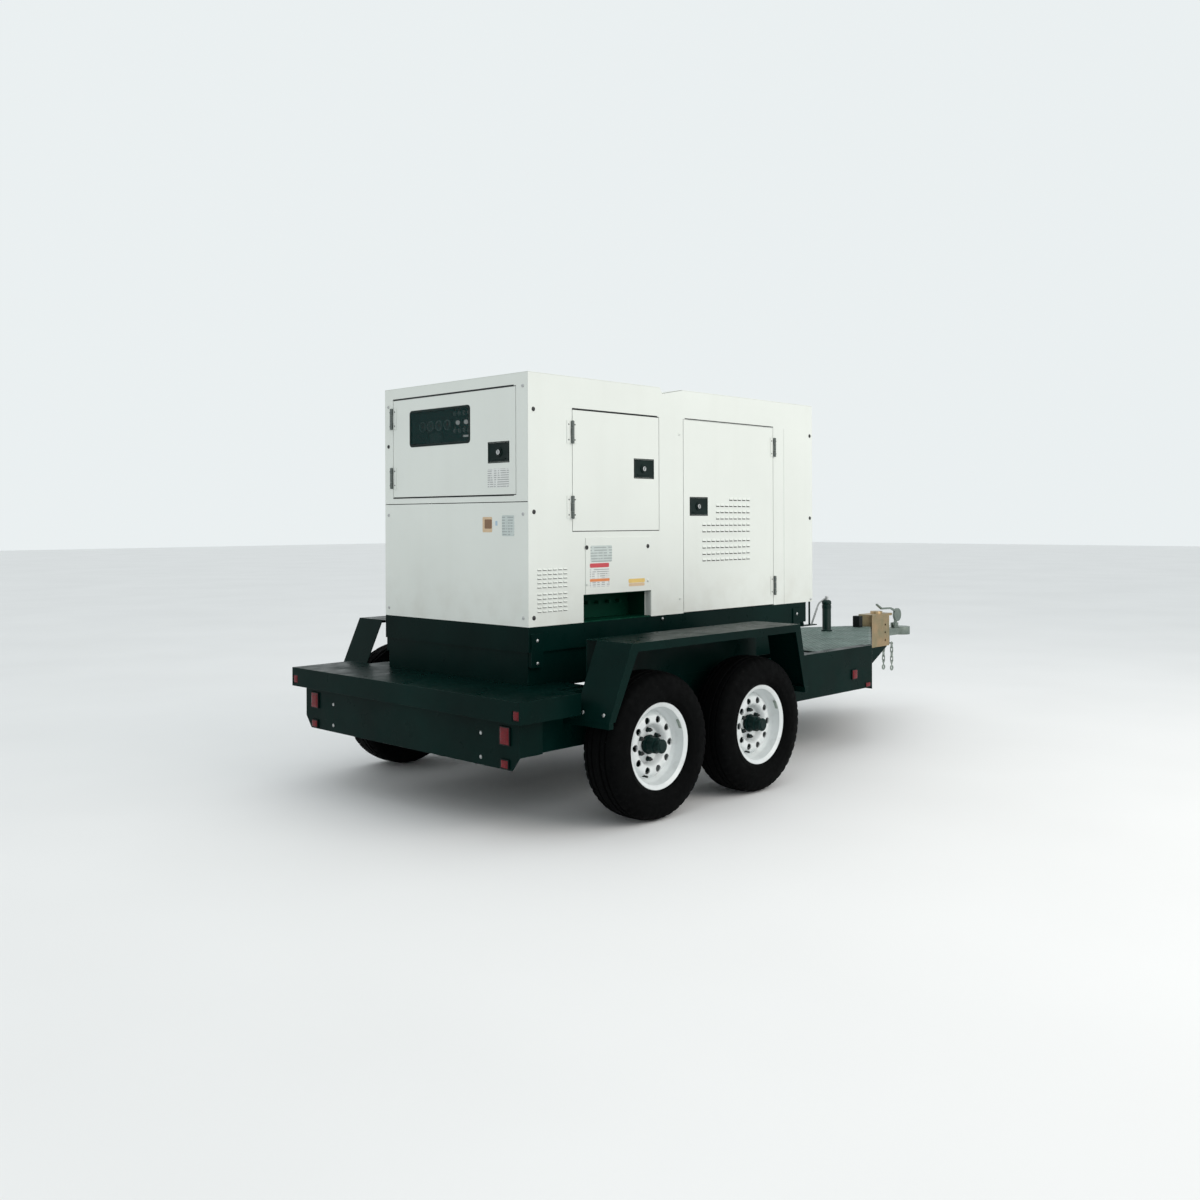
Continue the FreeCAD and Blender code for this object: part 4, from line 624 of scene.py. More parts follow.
def rim(corner, sign):
    """A pressed steel wheel (rolled lips, drop centre, a dished disc with ten vents) and its nuts."""
    low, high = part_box(f"rim_{corner}")
    centre = (low + high) / 2
    lip, half = (high.z - low.z) / 2, (high.y - low.y) / 2
    seat, well, wall = lip - 0.017, lip - 0.0395, 0.005
    barrel = [
        (half, lip - 0.002), (half - 0.002, lip), (half - 0.006, lip - 0.001),
        (half - 0.007, lip - 0.006), (half - 0.008, seat + 0.003), (half - 0.012, seat),
        (0.03, seat - 0.002), (0.022, seat - 0.005), (0.014, well + 0.003), (0.008, well),
        (-0.032, well), (-0.038, well + 0.003), (-0.046, seat - 0.005), (-0.052, seat - 0.002),
        (0.012 - half, seat), (0.008 - half, seat + 0.003), (0.007 - half, lip - 0.006),
        (0.006 - half, lip - 0.001), (0.002 - half, lip), (-half, lip - 0.002),
        (0.001 - half, lip - 0.01), (0.004 - half, seat - wall), (-0.056, seat - wall - 0.002),
        (-0.048, well - wall + 0.002), (-0.034, well - wall), (0.01, well - wall),
        (0.024, seat - wall - 0.006), (0.034, seat - wall - 0.002), (half - 0.01, seat - wall),
        (half - 0.003, lip - 0.01),
    ]
    face = [
        (0.005, 0.042), (0.005, 0.078), (0.0075, 0.084), (0.016, 0.089), (0.03, 0.097),
        (0.0375, 0.104), (0.0405, 0.112), (0.041, 0.124), (0.04, 0.134), (0.037, 0.142),
        (0.03, 0.149), (0.02, 0.155), (0.01, well - wall + 0.001), (0.004, well - wall + 0.001),
        (0.014, 0.152), (0.025, 0.145),
        (0.032, 0.138), (0.035, 0.131), (0.0358, 0.122), (0.035, 0.113), (0.031, 0.108),
        (0.024, 0.103), (0.01, 0.094), (0.002, 0.087), (0.0, 0.079), (0.0, 0.042),
    ]
    bm = bmesh.new()
    for outline in (barrel, corner_cut(face)):
        add_lathe(bm, [(sign * y, r) for y, r in outline], 96)
    on_wheel = (f"wheel_{corner}", Matrix.Translation(centre))
    piece = on_body(f"wheel_disc_{corner}", bm, on_wheel, "wheel", "wheel_paint")
    vents = bmesh.new()
    for i in range(VENTS):
        ends = [on_circle(VENT_CIRCLE, 2 * math.pi * i / VENTS, sign * y) for y in (0.015, 0.06)]
        add_cylinder(vents, *ends, VENT_RADIUS, segments=28)
    carved(piece, vents)
    rounded_edges(piece, 0.0008, 2, 60)
    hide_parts(f"rim_{corner}")

    # valve stem and a clip-on balance weight
    bm = bmesh.new()
    foot, neck, tip = (on_circle(VALVE_CIRCLE, VALVE_TURN, sign * y) for y in (0.016, 0.04, 0.052))
    add_cylinder(bm, foot, neck, 0.005, 0.0042, 16)
    add_cylinder(bm, neck, tip, 0.005, 0.0046, 12)
    on_body(f"valve_{corner}", bm, on_wheel, "black", "hub_paint", bevel=0.0006)
    bm = bmesh.new()
    inner, outer = seat - wall - 0.006, seat - wall - 0.001
    loops = []
    for i in range(7):
        turn = math.radians(20 + 2.5 * i)
        loops.append([bm.verts.new(on_circle(r, turn, sign * y)) for r, y in (
            (inner, half - 0.026), (outer, half - 0.026), (outer, half - 0.012), (inner, half - 0.012))])
    join_loops(bm, loops, capped=True)
    on_body(f"balance_weight_{corner}", bm, on_wheel, "chain", "wheel_paint")

    # blackened cone nuts on their studs, and the bands of the hub's dust cap
    bm = bmesh.new()
    for i in range(STUDS):
        turn = 2 * math.pi * (i + 0.5) / STUDS
        for places, r0, r1, sides in (((0.025, 0.0305), 0.0098, 0.0058, 6),
                                      ((0.03, 0.036), 0.0055, 0.005, 16),
                                      ((0.0052, 0.0075), 0.0135, 0.0122, 24)):
            ends = [on_circle(STUD_CIRCLE, turn, sign * y) for y in places]
            add_cylinder(bm, *ends, r0, r1, sides)
    on_body(f"lug_nuts_{corner}", bm, on_wheel, "dark_steel", "hub_paint", bevel=0.0005)
    bm = bmesh.new()
    tip = max(abs(c.y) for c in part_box(f"hub_{corner}")) - abs(centre.y)
    rings = [(0.012, 0.0335), (0.006, 0.0335), (0.004, 0.0315), (0.0045, 0.0285), (0.012, 0.0285)]
    add_lathe(bm, [(sign * (tip - y), r) for y, r in rings], 48)
    for y0, y1, r0, r1 in ((0.064, 0.068, 0.0385, 0.0375), (0.018, 0.024, 0.0475, 0.045)):
        add_cylinder(bm, (0, sign * y0, 0), (0, sign * y1, 0), r0, r1, 48)
    on_body(f"cap_band_{corner}", bm, on_wheel, "hub", "hub_paint", bevel=0.0008)


# -------- doors and latches


def door_places():
    """Each door with its face, its box there, the wall's skin and whether it hinges at low x."""
    for door in DOORS:
        facing = facing_of(door)
        low, high = local_box(f"{door}_door", facing)
        yield door, facing, low, high, skin_of(facing), door in ("control", "right_rear", "left_front")


def paddle(door):
    """A dished black paddle with a finger lip, its bezel and a bright key barrel."""
    facing = facing_of(door)
    latch = (f"{door}_latch", FACING[facing])
    low, high = local_box(latch[0], facing)
    mid = (low + high) / 2
    axis = at(mid.x, 0, mid.z)
    front = low.y + 0.004

    def plate(bm, x0, x1, y0, y1, z0, z1):
        """A box placed from the middle of the paddle's box."""
        return add_box(bm, (mid.x + x0, y0, mid.z + z0), (mid.x + x1, y1, mid.z + z1))

    bm = bmesh.new()
    slab = plate(bm, -0.0745, 0.0745, front, front + 0.009, -0.0455, 0.0455)
    face = next(f for f in {f for v in slab for f in v.link_faces} if f.normal.y < -0.9)
    for border, drop in ((0.007, 0.0028), (0.012, 0.0022)):
        bmesh.ops.inset_region(bm, faces=[face], thickness=border, depth=0.0)
        bmesh.ops.translate(bm, verts=list(face.verts), vec=(0, drop, 0))
    plate(bm, -0.05, 0.05, front + 0.0005, front + 0.005, -0.036, -0.03)
    ring = [(0.0006, 0.0165), (0.0006, 0.0225), (0.006, 0.0235), (0.006, 0.015)]
    add_lathe(bm, [(front + y, r) for y, r in ring], 40, axis)
    paddle_piece = on_body(f"paddle_{door}", bm, latch, "latch", "latch_black", bevel=0.0012, segments=3)
    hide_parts(f"{door}_latch")

    bm = bmesh.new()
    barrel = [(0.0, 0.0118), (0.0008, 0.0128), (0.008, 0.0128), (0.008, 0.002), (0.0022, 0.002),
              (0.0022, 0.0088), (0.0, 0.0098)]
    add_lathe(bm, [(low.y + y, r) for y, r in barrel], 40, axis)
    on_body(f"key_barrel_{door}", bm, latch, "steel", "screw_steel", bevel=0.0002)
    bm = bmesh.new()
    plate(bm, -0.0014, 0.0014, low.y + 0.0012, low.y + 0.004, -0.007, 0.007)
    on_body(f"key_slot_{door}", bm, latch, "black", "latch_black", bevel=0.0003)

    bm = bmesh.new()
    wide, skin = 0.0045, low.y + 0.006
    loops = []
    for reach, y in ((0.0, skin + 0.012), (0.0, skin - 0.0008), (wide * 0.8, skin - 0.0012),
                     (wide, skin), (wide, skin + 0.012)):
        x, z = 0.0755 + reach, 0.0482 + reach
        loops.append([bm.verts.new((mid.x + across, y, mid.z + up))
                      for across, up in ((-x, -z), (x, -z), (x, z), (-x, z))])
    join_loops(bm, loops, closed=True)
    made(f"latch_bezel_{door}", bm, f"{door}_door", "latch", "latch_black", latch[1], bevel=0.0006)


def hood(bm, x, skin, z, wide, tall):
    """A pressed louvre over a slot: it bulges outwards and is open underneath."""
    steps, metal_thick = 5, 0.0009
    outer, inner = [], []
    for i in range(steps + 1):
        share = i / steps
        bulge = 0.0048 * math.sin(0.5 * math.pi * share)
        height = z + tall * (0.62 - 0.74 * share)
        taper = wide / 2 * (0.9 + 0.1 * share)
        row = ((-taper, 0.0002), (-taper * 0.86, bulge), (taper * 0.86, bulge), (taper, 0.0002))
        for sheet, depth in ((outer, 0.0), (inner, metal_thick)):
            sheet.append([bm.verts.new((x + across, skin - out + depth, height)) for across, out in row])
    # once round each row gives the two faces and the ends, and the first and last rows close them
    join_loops(bm, [a + b[::-1] for a, b in zip(outer, inner)])
    for row in (0, -1):
        for i in range(3):
            bm.faces.new((outer[row][i], outer[row][i + 1], inner[row][i + 1], inner[row][i]))


FRONT_LOUVRES = [(1.205 + 0.036 * row, 0) for row in range(4)]
FRONT_LOUVRES += [(1.368 + 0.036 * row, first) for row, first in enumerate((0, 0, 3, 3, 3, 6))]


def louvres():
    """Pressed hoods over the slots of the front doors and of the rear posts."""
    for side in SIDES:
        inward = 1 if side == "right" else -1
        door, wall = (local_box(node, side)[0 if side == "right" else 1].x
                      for node in (f"{side}_front_door", "side_walls"))
        skin = skin_of(side)
        bm = bmesh.new()
        for z, first in FRONT_LOUVRES:
            for column in range(first, 11):
                hood(bm, door + inward * (0.18 + 0.041 * column), skin, z, 0.037, 0.018)
        made(f"door_louvres_{side}", bm, f"{side}_front_door", "cabinet", "cabinet_paint", FACING[side])
        bm = bmesh.new()
        for bank in (0.988, 1.106):
            for row in range(5):
                for column in range(6):
                    x = wall + inward * (0.072 + 0.035 * column)
                    hood(bm, x, skin, bank + 0.021 * row, 0.03, 0.011)
        made(f"post_louvres_{side}", bm, "chassis", "cabinet", "cabinet_paint", FACING[side])


def linings():
    """Foam glued in the pans of the four side doors."""
    margin, hinge_margin = 0.007, 0.015
    for door, facing, low, high, skin, low_hinge in list(door_places())[1:]:
        left, right = (hinge_margin, margin) if low_hinge else (margin, hinge_margin)
        bm = bmesh.new()
        add_box(bm, (low.x + left, skin + 0.0065, low.z + margin),
                (high.x - right, skin + 0.0205, high.z - margin))
        made(f"lining_{door}", bm, f"{door}_door", "foam", "box_black", FACING[facing],
             bevel=0.004, segments=3)


def door_seals_and_gap_shade():
    """Black rubber strips on the wall, just inside the slit round each door; they also darken the slit, a
    painted shadow in the gap.
    """
    slit, knuckle = 0.004, 0.0145
    for door, facing, low, high, skin, low_hinge in door_places():
        left, right = (knuckle, 0.0) if low_hinge else (0.0, knuckle)
        bm = bmesh.new()
        add_border(bm, low.x + left - slit, high.x - right + slit, low.z - slit, high.z + slit,
                   slit * 0.55, skin + 0.0075, skin + 0.018, butted=False)
        made(f"seal_{door}", bm, "chassis", "black", "box_black", FACING[facing], bevel=0.0006)


def hinge_barrels():
    """Dark knuckle sleeves, pin heads and leaf screws on the ten door hinges; the sleeves' dark colour
    also paints the shade round the knuckles.
    """
    axes = {joint["child"]: Vector(joint["pos_m"]) for joint in frame["joints"]
            if joint["name"].endswith("_door_hinge")}
    fixed = bmesh.new()
    moving = {f"{door}_door": bmesh.new() for door in DOORS}
    for low, high in islands("hinge_leaves"):
        centre = (low + high) / 2
        body = min(axes, key=lambda name: (axes[name].xy - centre.xy).length)
        axis = Vector((*axes[body].xy, centre.z))
        half = (high.z - low.z) / 2
        for bm, a, b in ((fixed, -half, -0.0205), (fixed, 0.0205, half), (moving[body], -0.0198, 0.0198)):
            add_lathe(bm, [(a, 0.0072), (a, 0.0078), (a + 0.0008, 0.0085), (b - 0.0008, 0.0085),
                           (b, 0.0078), (b, 0.0072)], 32, Matrix.Translation(axis) @ UPRIGHT)
        for end in (-1, 1):
            add_cylinder(fixed, axis + Vector((0, 0, end * (half - 0.0005))),
                         axis + Vector((0, 0, end * (half + 0.0016))), 0.0052, 0.0042, 20)
        on_side = high.x - low.x > high.y - low.y
        along = 0 if on_side else 1
        leaf = Vector((0, 0, 0))
        leaf[along] = math.copysign(0.0215, centre[along] - axis[along])
        out = Vector((0, math.copysign(1, axis.y), 0)) if on_side else Vector((-1, 0, 0))
        for height in (-0.038, 0.038):
            for bm, step in ((fixed, leaf), (moving[body], -leaf)):
                socket_head(bm, axis - out * 0.005 + step + Vector((0, 0, height)), out, 0.0042, 0.0022)
    made("hinge_barrels_fixed", fixed, "chassis", "hinge", "hinge_paint", angle=30)
    for body, bm in moving.items():
        made(f"hinge_barrels_{body}", bm, body, "hinge", "hinge_paint", angle=30)


def door_shadow_strips():
    """A black strip on the wall over each door, and under the control door: a painted shadow of the door's
    edge.
    """
    for door, facing, low, high, skin, _ in door_places():
        bm = bmesh.new()
        strips = [(high.z + 0.0035, high.z + 0.0085)]
        if facing == "rear":
            strips.append((low.z - 0.0075, low.z - 0.0035))
        for z0, z1 in strips:
            add_box(bm, (low.x + 0.012, skin - 0.0016, z0), (high.x - 0.012, skin + 0.0004, z1))
        made(f"painted_door_shadow_{door}", bm, "chassis", "black", "box_black", FACING[facing], bevel=0.0006)


def rounded_loop(bm, x0, x1, z0, z1, radius, y, steps):
    """The vertices of a rectangle with round corners, in a plane across Y."""
    loop = []
    for x, z, start in ((x1 - radius, z1 - radius, 0), (x0 + radius, z1 - radius, 90),
                        (x0 + radius, z0 + radius, 180), (x1 - radius, z0 + radius, 270)):
        for i in range(steps + 1):
            spot = on_circle(radius, math.radians(start + 90 * i / steps), y)
            loop.append(bm.verts.new(spot + Vector((x, 0, z))))
    return loop


def window_gasket():
    """The black rubber that holds the pane: rounded corners, a lip on the door's face."""
    low, high = local_box("control_window", "rear")
    skin = skin_of("rear")
    bm = bmesh.new()
    section = ((-0.007, 0.012, 0.0015), (-0.007, 0.012, -0.0012), (-0.004, 0.014, -0.0024),
               (0.003, 0.017, -0.0024), (0.006, 0.02, -0.001), (0.006, 0.02, 0.0003))
    loops = [rounded_loop(bm, low.x - grow, high.x + grow, low.z - grow, high.z + grow,
                          radius, skin + y, 6) for grow, radius, y in section]
    join_loops(bm, loops, closed=True)
    made("window_gasket", bm, "control_door", "latch", "box_black", FACING["rear"], angle=50)


# -------- lamps, screws and small fittings


def lamps():
    """Each lamp gets a black bezel and a domed, ribbed red lens in its own box."""
    bezels, lenses = bmesh.new(), bmesh.new()
    count = 12
    for low, high in islands("lamp_lenses"):
        turn = grid_frame(outward(low, high)[1])
        ends = [turn.inverted() @ corner for corner in (low, high)]
        lo, hi = Vector(map(min, *ends)), Vector(map(max, *ends))
        edge = 0.0022 if min(hi.x - lo.x, hi.z - lo.z) < 0.03 else 0.0045
        depth = hi.y - lo.y
        border = add_border(bezels, lo.x, hi.x, lo.z, hi.z, edge, lo.y + depth * 0.25, hi.y)
        bmesh.ops.transform(bezels, matrix=turn, verts=border)
        x0, x1, z0, z1 = lo.x + edge, hi.x - edge, lo.z + edge, hi.z - edge

        def lens_vert(i, j, y):
            across, up = x0 + (x1 - x0) * i / count, z0 + (z1 - z0) * j / count
            return lenses.verts.new(turn @ Vector((across, y, up)))

        def dome(i, j):
            u, v = 2 * i / count - 1, 2 * j / count - 1
            return lo.y + depth * (0.3 * max(abs(u) ** 6, abs(v) ** 6) + 0.05 * (u * u + v * v) / 2)

        places = [(i, j) for i in range(count + 1) for j in range(count + 1)]
        grid = {(i, j): lens_vert(i, j, dome(i, j)) for i, j in places}
        for i, j in places:
            if i < count and j < count:
                lenses.faces.new([grid[spot] for spot in ((i, j), (i + 1, j), (i + 1, j + 1), (i, j + 1))])
        rim_spots = [(i, 0) for i in range(count)] + [(count, j) for j in range(count)]
        rim_spots += [(count - i, count) for i in range(count)] + [(0, count - j) for j in range(count)]
        deep = [lens_vert(i, j, hi.y - depth * 0.05) for i, j in rim_spots]
        join_loops(lenses, [[grid[spot] for spot in rim_spots], deep])
        lenses.faces.new(deep)
    lens = made("lamp_lens_caps", lenses, "chassis", "lens", "lens_red", angle=50)
    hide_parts("lamp_lenses")
    made("lamp_bezels", bezels, "chassis", "black", "latch_black", bevel=0.0009)


def socket_head(bm, centre, direction, radius, depth):
    """A domed screw head with a hexagon socket and a washer under it."""
    turn = Matrix.Translation(centre) @ grid_frame(direction)
    count = 24
    angles = [2 * math.pi * i / count for i in range(count)]
    sixth = math.pi / 3
    head = ((0.5, 1.0), (0.32, 1.0), (0.28, 0.86), (-0.1, 0.8), (-0.38, 0.62), (-0.5, 0.34))
    rings = [[bm.verts.new(turn @ on_circle(radius * r, angle, depth * y)) for angle in angles]
             for y, r in head]
    flats = [radius * 0.27 * math.cos(sixth / 2) / math.cos(angle % sixth - sixth / 2) for angle in angles]
    for y in (-0.5, 0.05):
        rings.append([bm.verts.new(turn @ on_circle(r, angle, depth * y))
                      for r, angle in zip(flats, angles)])
    join_loops(bm, rings, capped=True)


def screws():
    """Black heads at the cabinet's corners, painted ones along its sides, bright ones elsewhere."""
    styles = {"dark_steel": bmesh.new(), "cabinet": bmesh.new(), "steel": bmesh.new()}
    wall_low, wall_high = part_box("side_walls")
    cover_low, cover_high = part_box("outlet_cover")
    cabinet_foot, corner_reach = 0.95, 0.12
    for low, high in islands("screws"):
        axis, direction = outward(low, high)
        centre = (low + high) / 2
        look, radius = "steel", 0.0085
        if axis == 1 and low.z > cabinet_foot:
            corner = min(centre.x - wall_low.x, wall_high.x - centre.x) < corner_reach
            on_cover = cover_low.x < centre.x < cover_high.x and 1.25 < centre.z < 1.4
            look, radius = ("dark_steel", 0.0112) if corner or on_cover else ("cabinet", 0.008)
        elif axis == 0 and centre.x < wall_low.x + 0.05 and 1.7 < centre.z < 2.0:
            look, radius = "dark_steel", 0.0105
        socket_head(styles[look], centre, direction, radius, min(high - low))
    for look, bm in styles.items():
        piece = made(f"screw_heads_{look}", bm, "chassis", look, "screw_steel", angle=30)
    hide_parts("screws")


def chequer_lozenges():
    """The raised diagonal bars of the tread plate, kept clear of the jack and the box."""
    low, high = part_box("tread_deck")
    hole_x = sum(c.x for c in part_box("jack_tube")) / 2
    box_low, box_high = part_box("breakaway_box")
    bm = bmesh.new()
    pitch, gap = 0.021, 0.014
    half_width, taper_start, taper = 0.688, 0.789, 0.593
    jack_clear, end_clear = 0.052, 0.012
    for row in range(int((high.x - low.x) / pitch)):
        for column in range(-34, 35):
            x, y = low.x + end_clear + row * pitch, column * pitch
            reach = half_width - max(0.0, x - taper_start) * taper
            near_box = box_low.x - gap < x < box_high.x + gap and abs(y) < box_high.y + gap
            near_jack = math.hypot(x - hole_x, y) < jack_clear
            if abs(y) > reach or x > high.x - end_clear or near_jack or near_box:
                continue
            turn = Matrix.Rotation(math.radians(45 if (row + column) % 2 else -45), 3, "Z")
            base = Vector((x, y, high.z - 0.0003))
            loops = []
            for tip, side, wide, up in ((0.0115, 0.005, 0.0028, 0.0), (0.0085, 0.004, 0.0013, 0.0019)):
                outline = ((-tip, 0), (-side, -wide), (side, -wide), (tip, 0), (side, wide), (-side, wide))
                loops.append([bm.verts.new(base + turn @ Vector((*spot, up))) for spot in outline])
            join_loops(bm, loops)
            bm.faces.new(loops[-1])
    made("chequer_bars", bm, "chassis", "chequer", "tread_plate", angle=60)


def add_tube(bm, points, radius, segments=24):
    """A round bar along a line of points."""
    rings = []
    for i, point in enumerate(points):
        ahead = points[min(i + 1, len(points) - 1)] - points[max(i - 1, 0)]
        turn = ahead.to_track_quat("Z", "Y").to_matrix()
        angles = (2 * math.pi * k / segments for k in range(segments))
        rings.append([bm.verts.new(point + turn @ Vector((radius * math.cos(a), radius * math.sin(a), 0)))
                      for a in angles])
    join_loops(bm, rings, capped=True)


def bent(points, radius, steps=8):
    """A line with each inner corner replaced by an arc-like curve."""
    line = [points[0]]
    for before, corner, after in zip(points, points[1:], points[2:]):
        start = corner + (before - corner).normalized() * radius
        end = corner + (after - corner).normalized() * radius
        for i in range(steps + 1):
            t = i / steps
            line.append(start * (1 - t) ** 2 + corner * (2 * t * (1 - t)) + end * t ** 2)
    line.append(points[-1])
    return line


def jack_crank():
    """A bright bent rod with a ribbed grip, and the painted cap of the jack's gear."""
    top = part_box("jack_crank")[1].z
    tube_low, tube_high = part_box("jack_tube")
    axis = (tube_low + tube_high) / 2
    start = Vector((axis.x, axis.y, top - 0.008))
    crank_turn, arm_lean, grip_lean = 135, 127, 161
    arm, down = (Matrix.Rotation(math.radians(crank_turn), 3, "Z")
                 @ Matrix.Rotation(math.radians(lean), 3, "Y") @ Vector((0, 0, 1))
                 for lean in (arm_lean, grip_lean))
    square = (arm - down * arm.dot(down)).normalized()
    points = [v.co for v in nodes["jack_crank"].data.vertices]
    elbow = start + arm * (max((co - start).dot(square) for co in points) - 0.009) / arm.dot(square)
    grip = max((co - elbow).dot(down) for co in points)
    end = elbow + down * grip

    bm = bmesh.new()
    crown = tube_high.z + 0.001
    cap = [(0.0, 0.0005), (0.0, 0.0325), (0.003, 0.034), (0.018, 0.034), (0.024, 0.0312),
           (0.029, 0.0245), (0.0315, 0.015), (0.0315, 0.0005)]
    add_lathe(bm, cap, 48, at(axis.x, axis.y, crown) @ UPRIGHT)
    made("crank_cap", bm, "jack_crank", "jack", "jack_paint", bevel=0.0008)
    bm = bmesh.new()
    for z0, z1, r0, r1, sides in ((crown + 0.028, top - 0.002, 0.0125, 0.0115, 32),
                                  (top - 0.003, top, 0.0075, 0.0065, 24)):
        add_cylinder(bm, (axis.x, axis.y, z0), (axis.x, axis.y, z1), r0, r1, sides)
    add_tube(bm, bent([start, elbow, end], 0.02), 0.0058)
    piece = made("crank_rod", bm, "jack_crank", "steel", "crank_zinc", bevel=0.0008)
    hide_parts("jack_crank")

    bm = bmesh.new()
    ribs, length = 14, grip * 0.78
    outline = [(length * i / ribs, 0.0078 if i % 2 else 0.007) for i in range(ribs + 1)]
    along = (-down).to_track_quat("Y", "Z").to_matrix().to_4x4()
    add_lathe(bm, [(0.0, 0.006)] + outline + [(length, 0.006)], 28,
              Matrix.Translation(end - down * 0.002) @ along)
    made("crank_grip_sleeve", bm, "jack_crank", "steel", "crank_zinc")

    bm = bmesh.new()
    add_lathe(bm, [(-0.03, 0.0314), (-0.03, 0.0336), (-0.006, 0.0336), (-0.006, 0.0314)], 48,
              at(axis.x, axis.y, tube_high.z) @ UPRIGHT)
    made("jack_collar", bm, "chassis", "jack", "jack_paint", bevel=0.0012)


# -------- instrument board


def instruments():
    """Gauges with ticks and needles, push buttons, a screen, and dials behind the pane that glow faintly:
    painted light, since they are no lamps.
    """
    face = local_box("control_board", "rear")[0].y
    parts = {}

    def part(name):
        return parts.setdefault(name, bmesh.new())

    def knob(name, centre, front, back, radius, end_radius=None, sides=32):
        add_cylinder(part(name), centre + Vector((0, front, 0)), centre + Vector((0, back, 0)),
                     radius, end_radius, sides)

    def ring(name, centre, outer, inner, front, back, sides):
        add_lathe(part(name), [(front, inner), (front, outer), (back, outer), (back, inner)], sides,
                  Matrix.Translation(centre))

    for x, reading in ((-0.3, 150), (-0.23, 118), (-0.16, 75), (-0.09, 100)):
        centre = Vector((x, face - 0.004, 1.93))
        ring("gauge_bezels", centre, 0.0275, 0.0225, -0.007, 0.004, 40)
        knob("gauge_dials", centre, -0.0015, 0.003, 0.0226, sides=40)
        for i in range(11):
            a, b = (centre + on_circle(r, math.radians(225 - 27 * i), -0.0018) for r in (0.0155, 0.02))
            add_cylinder(part("gauge_ticks"), a, b, 0.0006, segments=6)
        tip = centre + on_circle(0.0165, math.radians(reading), -0.003)
        add_cylinder(part("gauge_needles"), centre + Vector((0, -0.003, 0)), tip, 0.0012, 0.0004, 8)
        knob("gauge_needles", centre, -0.004, 0.0, 0.0028, 0.0032, 16)
    for i in range(8):
        centre = Vector((0.038 * (i % 4) - 0.03, face - 0.004, 1.985 - 0.09 * (i // 4)))
        ring("button_rims", centre, 0.0125, 0.0095, -0.004, 0.004, 32)
        knob("button_caps", centre, -0.006, 0.004, 0.009, sides=28)
        knob("pilot_lamps", centre + Vector((0, 0, 0.018)), -0.001, 0.004, 0.0022, 0.003, 16)
    for x in (-0.009, 0.057):
        knob("glowing_dials", Vector((x, face, 1.937)), -0.009, 0.002, 0.0105, 0.012)
    add_box(part("glowing_dials"), (0.04, face - 0.009, 1.86), (0.08, face + 0.002, 1.87))
    x, z = -0.195, 1.862
    add_border(part("screen_frame"), x - 0.062, x + 0.062, z - 0.04, z + 0.04, 0.012,
               face - 0.008, face + 0.004)
    add_box(part("screen_face"), (x - 0.05, face - 0.004, z - 0.028),
            (x + 0.05, face + 0.002, z + 0.028))
    for name, look, bevel, segments in (
        ("gauge_bezels", "steel", 0.0012, 2), ("gauge_dials", "label_dark", 0.0, 2),
        ("gauge_ticks", "label_grey", 0.0, 2), ("gauge_needles", "label_red", 0.0, 2),
        ("button_rims", "steel", 0.0008, 2), ("button_caps", "label_grey", 0.0018, 3),
        ("pilot_lamps", "label_orange", 0.0006, 2), ("glowing_dials", "lit", 0.0015, 2),
        ("screen_frame", "board", 0.0015, 2), ("screen_face", "label_dark", 0.0008, 2),
    ):
        made(name, parts[name], "chassis", look, "screw_steel" if look == "steel" else "board_paint",
             FACING["rear"], bevel, segments=segments)


# -------- labels and bolts


def labels():
    """Plain stickers in the photograph's places; none carries words or a mark."""
    rear = (0.0, skin_of("rear"), "rear")
    cover = (local_box("side_walls", "right")[0].x, local_box("outlet_cover", "right")[0].y, "right")
    for name, (start, skin, facing), x0, x1, z0, z1, look, radius in (
        ("door_label", rear, 0.281, 0.438, 1.593, 1.685, "label", 0.006),
        ("rear_sticker_tan", rear, 0.241, 0.313, 1.372, 1.448, "label_tan", 0.006),
        ("rear_sticker_brown", rear, 0.257, 0.311, 1.39, 1.436, "label_brown", 0.006),
        ("rear_sticker_blue", rear, 0.338, 0.353, 1.405, 1.428, "label_blue", 0.003),
        ("rear_sticker_grey", rear, 0.387, 0.476, 1.354, 1.456, "label_grey", 0.006),
        ("cover_label_grey", cover, 0.421, 0.578, 1.218, 1.302, "label_grey", 0.006),
        ("cover_label_red", cover, 0.416, 0.556, 1.19, 1.212, "label_red", 0.006),
        ("cover_label_white", cover, 0.416, 0.556, 1.136, 1.188, "label", 0.006),
        ("cover_label_orange", cover, 0.416, 0.56, 1.119, 1.133, "label_orange", 0.003),
        ("cover_label_pale", cover, 0.416, 0.56, 1.092, 1.117, "label", 0.006),
        ("cover_label_yellow", cover, 0.704, 0.832, 1.102, 1.123, "label_yellow", 0.006),
        ("cover_label_tan", cover, 0.706, 0.83, 1.084, 1.1, "label_tan", 0.006),
    ):
        thick = 0.0009 if name == "rear_sticker_brown" else 0.0005
        bm = bmesh.new()
        join_loops(bm, [rounded_loop(bm, start + x0, start + x1, z0, z1, radius, skin - y, 4)
                        for y in (thick, 0.0001)], capped=True)
        body = "control_door" if name == "door_label" else "chassis"
        made(name, bm, body, look, "cabinet_paint", FACING[facing])


def side_bolts():
    """Two bolt heads low on the rear slope of each fender and two on the skid's sides."""
    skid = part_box("skid_base")[1].y
    for side, sign in SIDES.items():
        low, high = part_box(f"fender_{side}")
        run, rise = 0.156, 0.347
        slope = Vector((run, 0, rise)).normalized()
        outside = Vector((-slope.z, 0, slope.x))
        foot = Vector((low.x, 0, high.z - rise)) + slope * 0.032 + outside * 0.0015
        fender, skid_side = bmesh.new(), bmesh.new()
        for y, z in ((0.905, 0.898), (1.038, 0.817)):
            socket_head(fender, foot + Vector((0, sign * y, 0)), outside, 0.0105, 0.006)
            socket_head(skid_side, Vector((-1.145, sign * skid, z)), Vector((0, sign, 0)), 0.0085, 0.006)
        made(f"fender_bolts_{side}", fender, "chassis", "steel", "screw_steel", angle=30)
        made(f"skid_bolts_{side}", skid_side, "chassis", "steel", "screw_steel", angle=30)


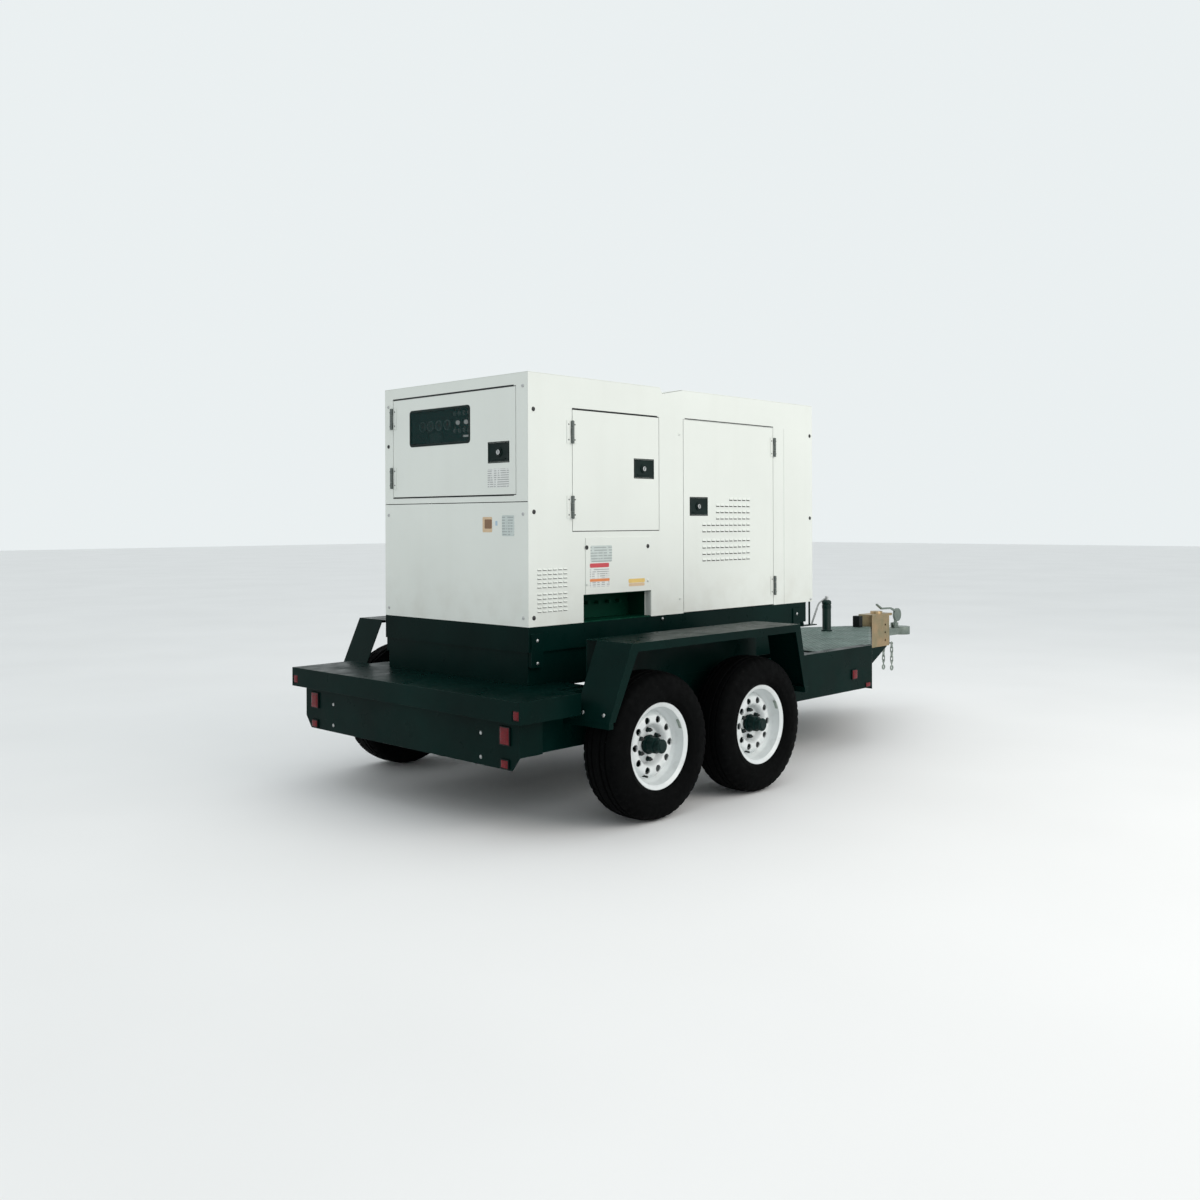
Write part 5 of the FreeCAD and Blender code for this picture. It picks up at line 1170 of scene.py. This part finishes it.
def recess_jamb():
    """The bright return flange at the forward edge of the cable recess."""
    low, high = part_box("cable_recess")
    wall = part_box("side_walls")[0].y
    bm = bmesh.new()
    for x0, x1, y0, y1 in ((0.0052, 0.0038, 0.001, 0.04), (0.009, 0.004, 0.0385, 0.04)):
        add_box(bm, (high.x - x0, wall + y0, low.z + 0.005), (high.x - x1, wall + y1, high.z - 0.004))
    made("recess_jamb", bm, "chassis", "cabinet", "cabinet_paint", bevel=0.0004)


# -------- build it all

dress_nodes()
for corner, sign in CORNERS.items():
    tyre(corner)
    rim(corner, sign)
for door in DOORS:
    paddle(door)
louvres()
linings()
door_seals_and_gap_shade()
hinge_barrels()
door_shadow_strips()
window_gasket()
lamps()
screws()
chequer_lozenges()
jack_crank()
instruments()
labels()
side_bolts()
recess_jamb()


# -------- studio, light and camera


def studio():
    """A plain pale floor, even sky light, a large soft key from the photograph's right."""
    floor_mesh = bpy.data.meshes.new("studio_floor")
    floor_mesh.from_pydata([(-60, -60, 0), (60, -60, 0), (60, 60, 0), (-60, 60, 0)], [], [(0, 1, 2, 3)])
    floor_mesh.materials.append(floor_paint())
    floor = in_scene("studio_floor", floor_mesh)

    world = bpy.data.worlds.new("studio_sky")
    world.use_nodes = True
    background = world.node_tree.nodes["Background"]
    background.inputs["Color"].default_value = (0.94, 0.99, 1.0, 1.0)
    background.inputs["Strength"].default_value = 0.88
    bpy.context.scene.world = world

    for name, place, size, power, colour in (
        ("key", (0.5, -7.5, 5.0), 6.0, 260.0, (1.0, 0.93, 0.87)),
        ("top", (-1.0, 0.0, 7.0), 7.0, 60.0, (1.0, 1.0, 1.0)),
    ):
        light = bpy.data.lights.new(name, "AREA")
        light.shape, light.size = "SQUARE", size
        light.energy, light.color = power, colour
        lamp = in_scene(name, light)
        lamp.location = place
        aim = Vector((-0.6, 0.0, 1.0)) - Vector(place)
        lamp.rotation_euler = aim.to_track_quat("-Z", "Y").to_euler()


def camera():
    """The photograph's own viewpoint, fitted to the cabinet's edges and the wheels."""
    lens = bpy.data.cameras.new("photo_view")
    lens.lens, lens.sensor_width, lens.shift_y = 34.716, 36.0, -0.0654
    lens.clip_start, lens.clip_end = 0.1, 200.0
    view = in_scene("photo_view", lens)
    view.location = (-5.874, -4.662, 1.4235)
    view.rotation_euler = (math.radians(90), math.radians(0.2), math.radians(-46.12))
    bpy.context.scene.camera = view


studio()
camera()
bpy.context.scene.view_settings.view_transform = "Standard"
